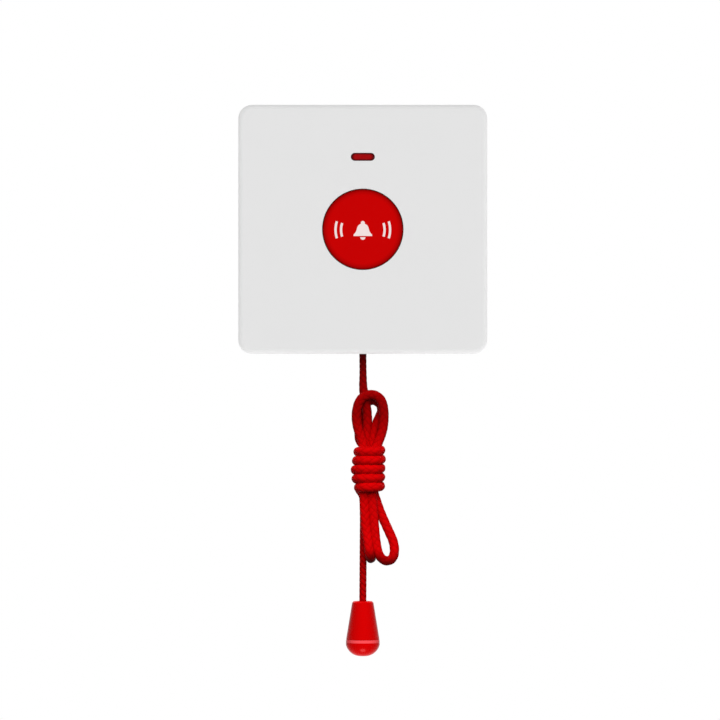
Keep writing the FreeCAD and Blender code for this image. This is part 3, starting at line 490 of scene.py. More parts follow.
def bell_body(sizes):
    """Add the bell's flat body, crowned at the top and flared at the rim."""
    bell = start_flat("bell_body", bpy.ops.mesh.primitive_grid_add, size=1.0, x_subdivisions=8,
                      y_subdivisions=len(BELL_ROWS) - 1)
    bpy.ops.mesh.select_mode(type="VERT")
    bpy.ops.transform.resize(value=(sizes.bell_width, 1.0, sizes.bell_height))
    for number, share in enumerate(BELL_ROWS):
        height = sizes.bell_height * (0.5 - number / (len(BELL_ROWS) - 1))
        select_where(bell, lambda place: abs(place.z - height) < 1e-5)
        bpy.ops.transform.resize(value=(share, 1.0, 1.0))
    bpy.ops.object.mode_set(mode="OBJECT")
    return bell


def bell_disc(name, radius, height, cut):
    """Add a small flat disc, the bell's knob or its clapper, cut off level at a height."""
    disc = start_flat(name, bpy.ops.mesh.primitive_circle_add, height=height, radius=radius, vertices=32,
                      fill_type="TRIFAN")
    upwards = 1.0 if cut < height else -1.0
    bpy.ops.mesh.bisect(plane_co=(0.0, 0.0, cut), plane_no=(0.0, 0.0, upwards), clear_inner=True)
    bpy.ops.object.mode_set(mode="OBJECT")
    return disc


def ringing_arc(name, radius, sizes, side):
    """Add one ringing arc beside the bell, spun about the bell's middle."""
    arc = start_flat(name, bpy.ops.mesh.primitive_plane_add, across=side * radius, size=1.0)
    bpy.ops.transform.resize(value=(sizes.stroke, 1.0, 0.0))
    bpy.ops.mesh.remove_doubles(threshold=1e-6)
    bpy.ops.mesh.select_all(action="SELECT")
    bpy.ops.transform.rotate(value=-side * sizes.arc_spread, orient_axis="Y",
                             center_override=(0.0, PRINT_START_Y, 0.0))
    bpy.ops.mesh.spin(steps=20, angle=2 * sizes.arc_spread * side, center=(0.0, PRINT_START_Y, 0.0),
                      axis=(0.0, 1.0, 0.0))
    bpy.ops.object.mode_set(mode="OBJECT")
    return arc


def join_pieces(name, pieces):
    """Join pieces to one mesh."""
    bpy.ops.object.select_all(action="DESELECT")
    for piece in pieces:
        piece.select_set(True)
    bpy.context.view_layer.objects.active = pieces[0]
    bpy.ops.object.join()
    joined = bpy.context.object
    joined.name = joined.data.name = name
    return joined


def apply_modifier(piece, kind, **settings):
    """Give a piece a modifier with those settings and apply it."""
    modifier = piece.modifiers.new(kind.title(), kind)
    for name, value in settings.items():
        setattr(modifier, name, value)
    bpy.context.view_layer.objects.active = piece
    bpy.ops.object.modifier_apply(modifier=modifier.name)


class CALLBUTTON_OT_bell_pictogram(bpy.types.Operator):
    """Lay a bell between ringing arcs on the button's crown"""

    bl_idname = "callbutton.bell_pictogram"
    bl_label = "Bell Pictogram"
    bl_options = {"REGISTER", "UNDO"}

    def execute(self, context):
        sizes = context.scene.call_button_pictogram
        width, foot = sizes.bell_width, -sizes.bell_height / 2
        pieces = [bell_body(sizes),
                  bell_disc("bell_knob", width * KNOB_RADIUS, -foot + width * KNOB_RISE, -foot),
                  bell_disc("bell_clapper", width * CLAPPER_RADIUS, foot - sizes.stroke * CLAPPER_DROP,
                            foot - sizes.stroke * CLAPPER_GAP)]
        for side in (-1, 1):
            for number in range(2):
                pieces.append(ringing_arc(f"ringing_arc_{number}", sizes.arc_radius - number * sizes.arc_gap,
                                          sizes, side))
        bell = join_pieces("button_bell_print", pieces)
        bpy.ops.transform.translate(value=(0.0, 0.0, -sizes.middle_height))
        bpy.ops.object.transform_apply(location=True)
        apply_modifier(bell, "SHRINKWRAP", target=frame["nodes"]["button_cap"], wrap_method="PROJECT",
                       use_project_y=True, use_positive_direction=True)
        bpy.ops.object.mode_set(mode="EDIT")
        bpy.ops.mesh.select_all(action="SELECT")
        bpy.ops.mesh.normals_make_consistent(inside=False)
        bpy.ops.object.mode_set(mode="OBJECT")
        if bell.data.polygons[0].normal.y > 0:
            bell.data.flip_normals()
        apply_modifier(bell, "SOLIDIFY", thickness=sizes.relief, offset=1.0)
        bell.data.materials.append(print_white(context.scene.call_button_finishes))
        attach(bell, "button")
        return {"FINISHED"}


# -------------------- shader tools


def wire(tree, socket, value):
    """Give an input socket a value, or link it where the value is another socket."""
    if isinstance(value, bpy.types.NodeSocket):
        tree.links.new(value, socket)
    elif socket.type == "RGBA":
        socket.default_value = (*value, 1.0)
    else:
        socket.default_value = value


def feed(tree, node, inputs):
    """Give a node's inputs, by name or number, their values or links."""
    for name, value in inputs.items():
        wire(tree, node.inputs[name], value)


def add_node(tree, kind, inputs=None, **settings):
    """Add a node to a tree, with its settings and inputs."""
    node = tree.nodes.new(kind)
    for name, value in settings.items():
        setattr(node, name, value)
    feed(tree, node, inputs or {})
    return node


def calculate(tree, operation, *values):
    """Add a Math node and return its result."""
    return add_node(tree, "ShaderNodeMath", dict(enumerate(values)), operation=operation).outputs[0]


def blend_colours(tree, share, first, second):
    """Add a Mix node and return the colour that is second by that share."""
    return add_node(tree, "ShaderNodeMix", {0: share, 6: first, 7: second}, data_type="RGBA").outputs[2]


def rescale(tree, value, low, high, to_low=0.0, to_high=1.0):
    """Add a clamped Map Range node and return its result."""
    inputs = {"Value": value, "From Min": low, "From Max": high, "To Min": to_low, "To Max": to_high}
    return add_node(tree, "ShaderNodeMapRange", inputs).outputs[0]


def noise(tree, place, scale, detail=2.0):
    """Add a Noise node and return its value."""
    inputs = {"Vector": place, "Scale": scale, "Detail": detail}
    return add_node(tree, "ShaderNodeTexNoise", inputs).outputs[0]


def object_place(tree):
    """Return the place on the object."""
    return add_node(tree, "ShaderNodeTexCoord").outputs["Object"]


def object_axes(tree):
    """Return the object's three coordinates, one by one."""
    return add_node(tree, "ShaderNodeSeparateXYZ", {0: object_place(tree)}).outputs


def diagonal(tree, first, second):
    """Return the root of the sum of two squares."""
    squares = calculate(tree, "MULTIPLY_ADD", first, first, calculate(tree, "MULTIPLY", second, second))
    return calculate(tree, "SQRT", squares)


def apart(tree, first, second):
    """Return how far two values are apart."""
    return calculate(tree, "ABSOLUTE", calculate(tree, "SUBTRACT", first, second))


def bumped(tree, shader, height, depth):
    """Give a shader a relief of that depth in metres."""
    bump = add_node(tree, "ShaderNodeBump", {"Height": height, "Distance": depth})
    tree.links.new(bump.outputs[0], shader.inputs["Normal"])


def new_group(name, inputs, outputs):
    """Return a new node group with float inputs and outputs, and its two end nodes."""
    tree = bpy.data.node_groups.new(name, "ShaderNodeTree")
    for title, default in inputs.items():
        kind = "NodeSocketVector" if default is None else "NodeSocketFloat"
        socket = tree.interface.new_socket(title, in_out="INPUT", socket_type=kind)
        if default is not None:
            socket.default_value = default
    for title in outputs:
        tree.interface.new_socket(title, in_out="OUTPUT", socket_type="NodeSocketFloat")
    return tree, tree.nodes.new("NodeGroupInput").outputs, tree.nodes.new("NodeGroupOutput").inputs


def use_group(tree, build, inputs=None):
    """Place a node group in a tree, built on its first use, and return its outputs."""
    name = build.__doc__.split(":")[0]
    group = bpy.data.node_groups.get(name) or build(name)
    return add_node(tree, "ShaderNodeGroup", inputs, node_tree=group).outputs


def new_finish(name):
    """Return a new material, its node tree and its shader."""
    finish = bpy.data.materials.new(name)
    finish.use_nodes = True
    return finish, finish.node_tree, finish.node_tree.nodes["Principled BSDF"]


# -------------------- shared effects


def moulded_surface(name):
    """Moulded Surface: grain of the mould, clouds where the melt flowed and uneven polish."""
    tree, given, result = new_group(name, {"Grain Size": 0.0003}, ("Grain", "Cloud", "Polish"))
    place = object_place(tree)
    wire(tree, result["Grain"], noise(tree, place, calculate(tree, "DIVIDE", 1.0, given["Grain Size"]), 3.0))
    wire(tree, result["Cloud"], rescale(tree, noise(tree, place, 55.0), 0.35, 0.65))
    wire(tree, result["Polish"], rescale(tree, noise(tree, place, 420.0, 4.0), 0.3, 0.7))
    return tree


def hairline_scuffs(name):
    """Hairline Scuffs: short fine scratches in two directions, from fingers and cloths."""
    tree, given, result = new_group(name, {"Width": 0.00008, "Share": 0.08}, ("Scuff",))
    fine = calculate(tree, "DIVIDE", 1.0, given["Width"])
    limit = calculate(tree, "SUBTRACT", 0.76, given["Share"])
    marks = []
    for turn in (25, 118):
        turned = add_node(tree, "ShaderNodeVectorRotate",
                          {"Vector": object_place(tree), "Angle": math.radians(turn)}, rotation_type="Y_AXIS")
        drawn = add_node(tree, "ShaderNodeVectorMath", {0: turned.outputs[0], 1: (0.03, 1.0, 1.0)},
                         operation="MULTIPLY")
        marks.append(rescale(tree, noise(tree, drawn.outputs[0], fine), limit, 0.8))
    wire(tree, result["Scuff"], calculate(tree, "MAXIMUM", *marks))
    return tree


def settled_dust(name):
    """Settled Dust: a broken film on what faces up."""
    tree, given, result = new_group(name, {"Reach": 0.55}, ("Dust",))
    normal = add_node(tree, "ShaderNodeNewGeometry").outputs["Normal"]
    upward = add_node(tree, "ShaderNodeSeparateXYZ", {0: normal}).outputs[2]
    level = rescale(tree, upward, given["Reach"], 1.0)
    flecks = rescale(tree, noise(tree, object_place(tree), 700.0, 5.0), 0.3, 0.7)
    wire(tree, result["Dust"], calculate(tree, "MULTIPLY", level, flecks))
    return tree


def drawn_metal(name):
    """Drawn Metal: streaks of the die or the rollers, and a dull film in patches."""
    tree, given, result = new_group(name, {"Fineness": 9000.0}, ("Streak", "Film"))
    place = object_place(tree)
    stretched = add_node(tree, "ShaderNodeVectorMath", {0: place, 1: (1.0, 1.0, 0.06)}, operation="MULTIPLY")
    wire(tree, result["Streak"], noise(tree, stretched.outputs[0], given["Fineness"], 3.0))
    wire(tree, result["Film"], rescale(tree, noise(tree, place, 500.0, 4.0), 0.4, 0.75))
    return tree


def braid(name):
    """Braid: eight yarns, two over and two under, on a UV map of turns and stitches."""
    tree, given, result = new_group(name, {"Lay": None, "Filaments": 6.0}, ("Height", "Yarn", "Filament"))
    lay = add_node(tree, "ShaderNodeSeparateXYZ", {0: given["Lay"]}).outputs
    turns = calculate(tree, "MULTIPLY", lay[0], 4.0)
    rising = calculate(tree, "ADD", turns, lay[1])
    falling = calculate(tree, "SUBTRACT", turns, lay[1])
    whole = calculate(tree, "ADD", calculate(tree, "FLOOR", rising), calculate(tree, "FLOOR", falling))
    crossing = calculate(tree, "FLOORED_MODULO", whole, 4.0)
    falls = calculate(tree, "GREATER_THAN", crossing, 1.5)
    rising_part = calculate(tree, "FRACT", rising)
    falling_part = calculate(tree, "FRACT", falling)
    span = calculate(tree, "MULTIPLY", falls, calculate(tree, "SUBTRACT", falling_part, rising_part))
    top = calculate(tree, "ADD", rising_part, span)
    under = calculate(tree, "SUBTRACT", falling_part, span)
    across = calculate(tree, "ABSOLUTE", calculate(tree, "MULTIPLY_ADD", top, 2.0, -1.0))
    place = calculate(tree, "ADD", calculate(tree, "MODULO", crossing, 2.0), under)
    along = apart(tree, place, 1.0)
    crown = calculate(tree, "SUBTRACT", 1.0, calculate(tree, "POWER", across, 2.0))
    rise = calculate(tree, "SUBTRACT", 1.0, calculate(tree, "POWER", along, 4.0))
    height = calculate(tree, "SQRT", calculate(tree, "MULTIPLY", crown, rise))
    waves = calculate(tree, "MULTIPLY", given["Filaments"], math.tau)
    wave = calculate(tree, "COSINE", calculate(tree, "MULTIPLY", top, waves))
    wire(tree, result["Height"], height)
    wire(tree, result["Yarn"], rescale(tree, height, 0.0, 0.75))
    wire(tree, result["Filament"], calculate(tree, "MULTIPLY_ADD", wave, 0.5, 0.5))
    return tree


# -------------------- finishes


LIGHT_LENGTH, LIGHT_HEIGHT = 0.0083, 0.00275
# How much further the painted shade at the rim of the status light reaches in at its two ends.
LIGHT_END_SHADE = 0.0004
# Height of the band of painted highlight on the toggle's plug, just under its bell.
TOGGLE_HIGHLIGHT_HEIGHT = 0.0011
# Heights on the cord between which the painted shadow of the plate fades out downwards, and between which the
# painted shade on its lowest bends fades out upwards.
PLATE_SHADOW_END_Z, PLATE_SHADOW_FULL_Z = -0.077, -0.064
BEND_SHADE_FULL_Z, BEND_SHADE_END_Z = -0.1152, -0.1105
# Where the fold ends and the side loop begins, from left to right.
FOLD_X, SIDE_LOOP_X = 0.004, 0.007
# Distances from the button's axis between which painted shade darkens its edge.
BUTTON_SHADE_START, BUTTON_SHADE_END = 0.0118, 0.0138
# Radius of a bare pad, in pitches.
PAD_RADIUS = 0.16
PAD_PITCH = 0.00254
TRACK_WIDTH, TRACK_LENGTH, TRACK_PITCH = 0.00022, 0.0093, 0.0021
# Half of the angle that the capacitor's stripe takes up, in radians.
STRIPE_REACH = 0.45
# Shares of the battery's length: from its left end to its ring, and from its middle to its bare ends.
BATTERY_RING, BATTERY_END = 0.74, 0.475
DUST_GREY = (0.55, 0.52, 0.48)


class FinishProperties(bpy.types.PropertyGroup):
    """Colours of the parts."""

    cover_white: colour_property("Cover White", "Front shell", (0.757, 0.757, 0.757))
    base_white: colour_property("Base White", "Back plate and guide", (0.70, 0.70, 0.69))
    print_white: colour_property("Print White", "Pictogram", (0.89, 0.75, 0.74))
    button_red: colour_property("Button Red", "Push button", (0.56, 0.0003, 0.0004))
    light_red: colour_property("Light Red", "Middle of the status light", (0.335, 0.001, 0.002))
    light_rim_shade: colour_property("Light Rim", "Edge of the status light", (0.085, 0.001, 0.002))
    toggle_red: colour_property("Toggle Red", "Bell and plug of the toggle", (0.62, 0.0004, 0.0006))
    rim_highlight_pink: colour_property("Rim Pink", "Bright rim of the toggle", (0.90, 0.075, 0.085))
    board_green: colour_property("Board Green", "Solder mask", (0.012, 0.11, 0.035))
    trace_green: colour_property("Trace Green", "Solder mask over copper", (0.03, 0.22, 0.06))
    pad_gold: colour_property("Pad Gold", "Bare pads", (0.72, 0.50, 0.20))
    lamp_red: colour_property("Lamp Red", "Epoxy of the lamp", (0.62, 0.03, 0.03))
    chip_black: colour_property("Chip Black", "Moulding of the chips", (0.018, 0.018, 0.020))
    switch_black: colour_property("Switch Black", "Bodies of the switches", (0.022, 0.022, 0.024))
    sleeve_blue: colour_property("Sleeve Blue", "Sleeve of the capacitor", (0.015, 0.022, 0.09))
    sleeve_stripe: colour_property("Sleeve Stripe", "Capacitor's minus side", (0.55, 0.57, 0.60))
    battery_grey: colour_property("Battery Grey", "Wrap of the battery", (0.10, 0.105, 0.115))
    battery_ring: colour_property("Battery Ring", "Ring at the battery's plus end", (0.55, 0.09, 0.01))
    steel: colour_property("Steel", "Springs and screws", (0.56, 0.56, 0.57))
    nickel: colour_property("Nickel", "Battery contacts", (0.64, 0.61, 0.56))
    tin: colour_property("Tin", "Shield of the radio module and can of the resonator", (0.66, 0.67, 0.68))
    copper: colour_property("Copper", "Enamelled wire of the aerial", (0.75, 0.30, 0.12))
    acetal: colour_property("Acetal", "Slider and switch stems", (0.74, 0.73, 0.68))
    wire_black: colour_property("Wire Black", "Insulation of the battery lead", (0.015, 0.015, 0.017))


def darker(colour, share):
    """Return a colour that is darker by a share."""
    return [part * (1 - share) for part in colour]


def plastic(name, colour, grain_size, grain_depth, roughness, specular, cloud=0.03, dust=0.03):
    """Return a moulded plastic, and the node tree, shader and colour to work on further."""
    finish, tree, shader = new_finish(name)
    surface = use_group(tree, moulded_surface, {"Grain Size": grain_size})
    body = blend_colours(tree, surface["Cloud"], darker(colour, cloud), colour)
    film = calculate(tree, "MULTIPLY", use_group(tree, settled_dust)["Dust"], dust)
    body = blend_colours(tree, film, body, DUST_GREY)
    polish = rescale(tree, surface["Polish"], 0.0, 1.0, roughness - 0.03, roughness + 0.05)
    feed(tree, shader, {"Base Color": body, "Roughness": polish, "Specular IOR Level": specular})
    bumped(tree, shader, surface["Grain"], grain_depth)
    return finish, tree, shader, body


def cover_plastic(colours):
    """White ABS with a fine satin grain."""
    return plastic("cover white ABS", colours.cover_white, 0.00022, 0.0000015, 0.42, 0.30, cloud=0.006,
                   dust=0.01)[0]


def base_plastic(colours):
    """White ABS with the coarser grain of a part that faces the wall."""
    return plastic("base white ABS", colours.base_white, 0.0005, 0.000008, 0.55, 0.35)[0]


def guide_plastic(colours):
    """Smoother white acetal, polished where the cord runs."""
    return plastic("guide white acetal", colours.base_white, 0.0003, 0.000002, 0.30, 0.45)[0]


def button_red(colours):
    """Red ABS, buffed by fingers, with hairline scuffs round the middle."""
    finish, tree, shader, body = plastic("button red ABS", colours.button_red, 0.00025, 0.0000012, 0.36, 0.04,
                                         cloud=0.03, dust=0.004)
    scuff = calculate(tree, "MULTIPLY", use_group(tree, hairline_scuffs)["Scuff"], 0.06)
    body = blend_colours(tree, scuff, body, (0.75, 0.10, 0.10))
    x, _, z = object_axes(tree)
    # Painted shade: the button's colour darkens towards its rim.
    rim = rescale(tree, diagonal(tree, x, z), BUTTON_SHADE_START, BUTTON_SHADE_END, 0.0, 0.45)
    wire(tree, shader.inputs["Base Color"], blend_colours(tree, rim, body, darker(colours.button_red, 0.85)))
    return finish


def print_white(colours):
    """White print, thin enough for some of the red to shine through."""
    finish, tree, shader = new_finish("print white")
    surface = use_group(tree, moulded_surface, {"Grain Size": 0.0002})
    body = blend_colours(tree, surface["Polish"], colours.print_white, darker(colours.print_white, 0.05))
    feed(tree, shader, {"Base Color": body, "Roughness": 0.5, "Specular IOR Level": 0.2})
    bumped(tree, shader, surface["Grain"], 0.000003)
    return finish


def lens_red(colours):
    """Red acrylic of the status light, darker towards its rim, where it is thick."""
    finish, tree, shader = new_finish("lens red acrylic")
    low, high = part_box("led_lens")
    middle = (low + high) / 2
    straight = (LIGHT_LENGTH - LIGHT_HEIGHT) / 2 - LIGHT_END_SHADE
    half_height = LIGHT_HEIGHT / 2
    x, _, z = object_axes(tree)
    over = calculate(tree, "SUBTRACT", calculate(tree, "ABSOLUTE", x), straight)
    over = calculate(tree, "MAXIMUM", over, 0.0)
    out = diagonal(tree, over, calculate(tree, "SUBTRACT", z, middle.z))
    surface = use_group(tree, moulded_surface, {"Grain Size": 0.0006})
    uneven = calculate(tree, "MULTIPLY_ADD", surface["Polish"], 0.15 * half_height, out)
    # Painted shade on the rim of the status light.
    edge = rescale(tree, uneven, half_height * 0.45, half_height * 0.95)
    body = blend_colours(tree, edge, colours.light_red, colours.light_rim_shade)
    polish = rescale(tree, surface["Polish"], 0.0, 1.0, 0.16, 0.24)
    feed(tree, shader, {"Base Color": body, "Roughness": polish, "Specular IOR Level": 0.05})
    bumped(tree, shader, surface["Grain"], 0.000002)
    return finish


def toggle_red(colours):
    """Glossy red plastic of the toggle, with the bright rim where its plug meets the bell."""
    finish, tree, shader, body = plastic("toggle red ABS", colours.toggle_red, 0.0004, 0.000002, 0.22, 0.09,
                                         cloud=0.04, dust=0.01)
    rim_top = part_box("toggle_body")[0].z
    z = object_axes(tree)[2]
    # A band of painted highlight on the plug, just under the bell.
    below = calculate(tree, "LESS_THAN", z, rim_top - 0.00002)
    above = calculate(tree, "GREATER_THAN", z, rim_top - TOGGLE_HIGHLIGHT_HEIGHT)
    rim = calculate(tree, "MULTIPLY", below, above)
    scuff = calculate(tree, "MULTIPLY", use_group(tree, hairline_scuffs, {"Width": 0.00012})["Scuff"], 0.08)
    body = blend_colours(tree, scuff, body, (0.80, 0.12, 0.12))
    feed(tree, shader, {"Base Color": blend_colours(tree, rim, body, colours.rim_highlight_pink),
                        "Specular Tint": (1.0, 0.13, 0.12)})
    return finish


def cord_red(cord):
    """Braided polyester cord of fine filaments, unfaded near the plate and soiled at its lowest bends."""
    existing = bpy.data.materials.get("cord red braid")
    if existing:
        return existing
    finish, tree, shader = new_finish("cord red braid")
    lay = add_node(tree, "ShaderNodeUVMap", uv_map="lay")
    yarns = use_group(tree, braid, {"Lay": lay.outputs["UV"]})
    patches = rescale(tree, noise(tree, object_place(tree), 900.0, 3.0), 0.3, 0.7)
    yarn = blend_colours(tree, patches, darker(cord.yarn, 0.12), cord.yarn)
    filament = calculate(tree, "MULTIPLY", yarns["Filament"], 0.25)
    yarn = blend_colours(tree, filament, yarn, darker(cord.yarn, 0.25))
    body = blend_colours(tree, yarns["Yarn"], cord.gap, yarn)
    slack = add_node(tree, "ShaderNodeAttribute", attribute_name="slack").outputs["Fac"]
    # Painted shade where the cord is pulled tight, deepest in the gaps between its yarns.
    pulled = rescale(tree, yarns["Height"], 0.3, 0.9, 0.70, 0.32)
    tight = calculate(tree, "MULTIPLY", calculate(tree, "SUBTRACT", 1.0, slack), pulled)
    body = blend_colours(tree, tight, body, darker(cord.gap, 0.8))
    x, _, z = object_axes(tree)
    # Painted shadow of the plate: darkest high up on the cord, near the plate.
    plate_shadow = rescale(tree, z, PLATE_SHADOW_END_Z, PLATE_SHADOW_FULL_Z, 0.0, 0.57)
    # Painted shade on the lowest bends, deeper at the fold than at the side loop.
    bend_shade_depth = rescale(tree, x, FOLD_X, SIDE_LOOP_X, 1.05, 0.70)
    bend_shade = calculate(tree, "MULTIPLY", slack, rescale(tree, z, BEND_SHADE_FULL_Z, BEND_SHADE_END_Z, bend_shade_depth, 0.0))
    shade = calculate(tree, "ADD", plate_shadow, bend_shade)
    body = blend_colours(tree, shade, body, darker(cord.gap, 0.9))
    feed(tree, shader, {"Base Color": body, "Roughness": 0.7, "Specular IOR Level": 0.08})
    height = calculate(tree, "MULTIPLY_ADD", yarns["Filament"], -0.10, yarns["Height"])
    bumped(tree, shader, height, 0.00008)
    return finish


def board_green(colours):
    """Green solder mask over traces, with rows of bare pads."""
    finish, tree, shader = new_finish("circuit board")
    x, _, z = object_axes(tree)
    black, white = (0.0, 0.0, 0.0), (1.0, 1.0, 1.0)
    grid = {"Vector": add_node(tree, "ShaderNodeCombineXYZ", {0: x, 1: z}).outputs[0], "Scale": 1.0,
            "Color1": black, "Color2": black, "Mortar": white, "Mortar Size": TRACK_WIDTH,
            "Brick Width": TRACK_LENGTH, "Row Height": TRACK_PITCH}
    tracks = add_node(tree, "ShaderNodeTexBrick", grid, offset=0.37).outputs["Fac"]
    cells = [apart(tree, calculate(tree, "FRACT", calculate(tree, "DIVIDE", axis, pitch)), 0.5)
             for axis, pitch in ((x, 2 * PAD_PITCH), (z, PAD_PITCH))]
    reach = diagonal(tree, calculate(tree, "MULTIPLY", cells[0], 2.0), cells[1])
    pads = calculate(tree, "LESS_THAN", reach, PAD_RADIUS)
    mask = blend_colours(tree, tracks, colours.board_green, colours.trace_green)
    body = blend_colours(tree, pads, mask, colours.pad_gold)
    feed(tree, shader, {"Base Color": body, "Metallic": pads, "Roughness": 0.32})
    bumped(tree, shader, calculate(tree, "MAXIMUM", tracks, pads), 0.00003)
    return finish


def chip_black(colours):
    """Black epoxy with the sandy grain of a transfer mould."""
    return plastic("chip black epoxy", colours.chip_black, 0.00006, 0.000006, 0.5, 0.4, dust=0.06)[0]


def switch_black(colours):
    """Black nylon of the switches."""
    return plastic("switch black nylon", colours.switch_black, 0.0002, 0.000004, 0.42, 0.45, dust=0.05)[0]


def acetal(colours):
    """Natural acetal, smooth and slightly waxy."""
    return plastic("natural acetal", colours.acetal, 0.0005, 0.000003, 0.33, 0.5, cloud=0.06)[0]


def wire_black(colours):
    """Black PVC insulation."""
    return plastic("wire black PVC", colours.wire_black, 0.0006, 0.000006, 0.3, 0.5, dust=0.05)[0]


def led_epoxy(colours):
    """Red diffused epoxy of the lamp."""
    finish, tree, shader, _ = plastic("lamp red epoxy", colours.lamp_red, 0.0008, 0.000002, 0.2, 0.5)
    feed(tree, shader, {"Subsurface Weight": 0.2, "Subsurface Radius": (0.001, 0.0002, 0.0002)})
    return finish


def capacitor_sleeve(colours):
    """Blue shrink sleeve with a pale stripe down its minus side."""
    finish, tree, shader, body = plastic("capacitor sleeve", colours.sleeve_blue, 0.0006, 0.000004, 0.3, 0.5)
    low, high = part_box("smoothing_capacitor")
    middle = (low + high) / 2
    x, _, z = object_axes(tree)
    round_it = calculate(tree, "ARCTAN2", calculate(tree, "SUBTRACT", z, middle.z),
                         calculate(tree, "SUBTRACT", x, middle.x))
    stripe = calculate(tree, "LESS_THAN", calculate(tree, "ABSOLUTE", round_it), STRIPE_REACH)
    wire(tree, shader.inputs["Base Color"], blend_colours(tree, stripe, body, colours.sleeve_stripe))
    return finish


def battery_wrap(colours):
    """Grey foil wrap with a coloured ring at the plus end and bare ends."""
    finish, tree, shader, body = plastic("battery wrap", colours.battery_grey, 0.0006, 0.000004, 0.28, 0.5)
    low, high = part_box("battery")
    along = calculate(tree, "SUBTRACT", object_axes(tree)[0], low.x)
    share = calculate(tree, "DIVIDE", along, high.x - low.x)
    ring = calculate(tree, "GREATER_THAN", share, BATTERY_RING)
    ends = calculate(tree, "GREATER_THAN", apart(tree, share, 0.5), BATTERY_END)
    wrap = blend_colours(tree, ring, body, colours.battery_ring)
    feed(tree, shader, {"Base Color": blend_colours(tree, ends, wrap, colours.nickel), "Metallic": ends})
    return finish


def metal(name, colour, roughness, fineness=9000.0, film=0.25):
    """Return a drawn or rolled metal with streaks and a dull film."""
    finish, tree, shader = new_finish(name)
    surface = use_group(tree, drawn_metal, {"Fineness": fineness})
    dull = calculate(tree, "MULTIPLY", surface["Film"], film)
    body = blend_colours(tree, dull, colour, darker(colour, 0.45))
    polish = rescale(tree, surface["Streak"], 0.2, 0.8, roughness - 0.08, roughness + 0.12)
    feed(tree, shader, {"Base Color": body, "Roughness": polish, "Metallic": 1.0})
    bumped(tree, shader, surface["Streak"], 0.000004)
    return finish


def spring_steel(colours):
    """Spring wire, bright from the die."""
    return metal("spring steel", colours.steel, 0.26)


def screw_steel(colours):
    """Zinc-plated screws."""
    return metal("screw zinc plate", colours.steel, 0.34, fineness=4000.0, film=0.45)


def contact_nickel(colours):
    """Nickel-plated strip of the battery contacts."""
    return metal("contact nickel plate", colours.nickel, 0.24, fineness=6000.0)


def shield_tin(colours):
    """Tin-plated sheet."""
    return metal("shield tin plate", colours.tin, 0.38, fineness=2500.0, film=0.35)


def copper_wire(colours):
    """Enamelled copper wire."""
    return metal("enamelled copper", colours.copper, 0.22)


# The finish of each material slot. Most functions have the name of their slot.
FINISHES = {finish.__name__: finish for finish in (
    cover_plastic, base_plastic, guide_plastic, button_red, switch_black, spring_steel, lens_red, led_epoxy,
    board_green, screw_steel, shield_tin, chip_black, capacitor_sleeve, copper_wire, battery_wrap,
    contact_nickel, wire_black, toggle_red)}
FINISHES.update(stem_plastic=acetal, slider_plastic=acetal)


class CALLBUTTON_OT_finishes(bpy.types.Operator):
    """Give every part the finish of its material slot"""

    bl_idname = "callbutton.finishes"
    bl_label = "Finishes"
    bl_options = {"REGISTER", "UNDO"}

    def execute(self, context):
        colours = context.scene.call_button_finishes
        made = {"cord_red": cord_red(context.scene.call_button_cord)}
        for part in frame["record"]["subparts"]:
            slot = part["material_slot"]
            if slot not in made:
                made[slot] = FINISHES[slot](colours)
            mesh = frame["nodes"][part["node"]].data
            mesh.materials.clear()
            mesh.materials.append(made[slot])
        return {"FINISHED"}


# -------------------- stage


# Strength of the world's own light. Seen straight or in glass and metal, the world is plain white.
WORLD_LIGHT = 0.07
FLOOR_SIZE = 2.0
FLOOR_Z = -0.30
# The camera's place, across and up from the middle of the plate.
CAMERA_X, CAMERA_Z = -0.00097, -0.0451
# Name, azimuth, elevation, strength and spread of each lamp, and the group of pieces that it shines on.
LAMPS = (
    ("front soft light", 4, -6, 2.44, 120, "housing"),
    ("rear soft light", 165, -25, 2.2, 120, "housing"),
    ("left side light", -90, 0, 1.0, 60, "housing"),
    ("right side light", 90, 0, 1.1, 60, "housing"),
    ("top light", 0, 90, 1.1, 60, "housing"),
    ("low light", 0, -90, 1.3, 60, "housing"),
    ("button light", 0, 0, 2.95, 50, "facing"),
    ("cord key light", 4, 36, 3.2, 60, "cords"),
    ("cord rear light", 190, 45, 2.0, 30, "cords"),
    ("toggle key light", 8, 50, 3.7, 48, "toggle"),
    ("toggle rear light", 190, 45, 2.0, 30, "toggle"),
    ("toggle low light", 0, -72, 3.3, 24, "toggle"),
    ("floor light", 30, 60, 3.6, 40, "ground"),
)
# The one lamp that is seen as a highlight, on the toggle's dome.
HIGHLIGHT_LAMP = "toggle low light"


class StageProperties(bpy.types.PropertyGroup):
    """What the camera takes in."""

    framing: length_property("Framing", "Width of the picture at the cover's face", 0.2484)
    distance: length_property("Camera Distance", "From the camera to the cover's face", 2.0)


def group_of(piece):
    """Return the name of the group that a piece is lit with."""
    for group, starts in (("toggle", "toggle"), ("cords", "hanging_cord"), ("facing", ("button", "led"))):
        if piece.name.startswith(starts):
            return group
    return "housing"


def add_sun(name, azimuth, elevation, strength, spread, receivers):
    """Add a sun that shines on some pieces from an azimuth and elevation, in degrees."""
    lamp = bpy.data.lights.new(name, "SUN")
    lamp.energy = strength
    lamp.angle = math.radians(spread)
    sun = bpy.data.objects.new(name, lamp)
    bpy.context.scene.collection.objects.link(sun)
    turn, rise = math.radians(azimuth), math.radians(elevation)
    towards = Vector((math.sin(turn) * math.cos(rise), -math.cos(turn) * math.cos(rise), math.sin(rise)))
    sun.rotation_euler = towards.to_track_quat("Z", "Y").to_euler()
    sun.visible_glossy = name == HIGHLIGHT_LAMP
    sun.light_linking.receiver_collection = receivers


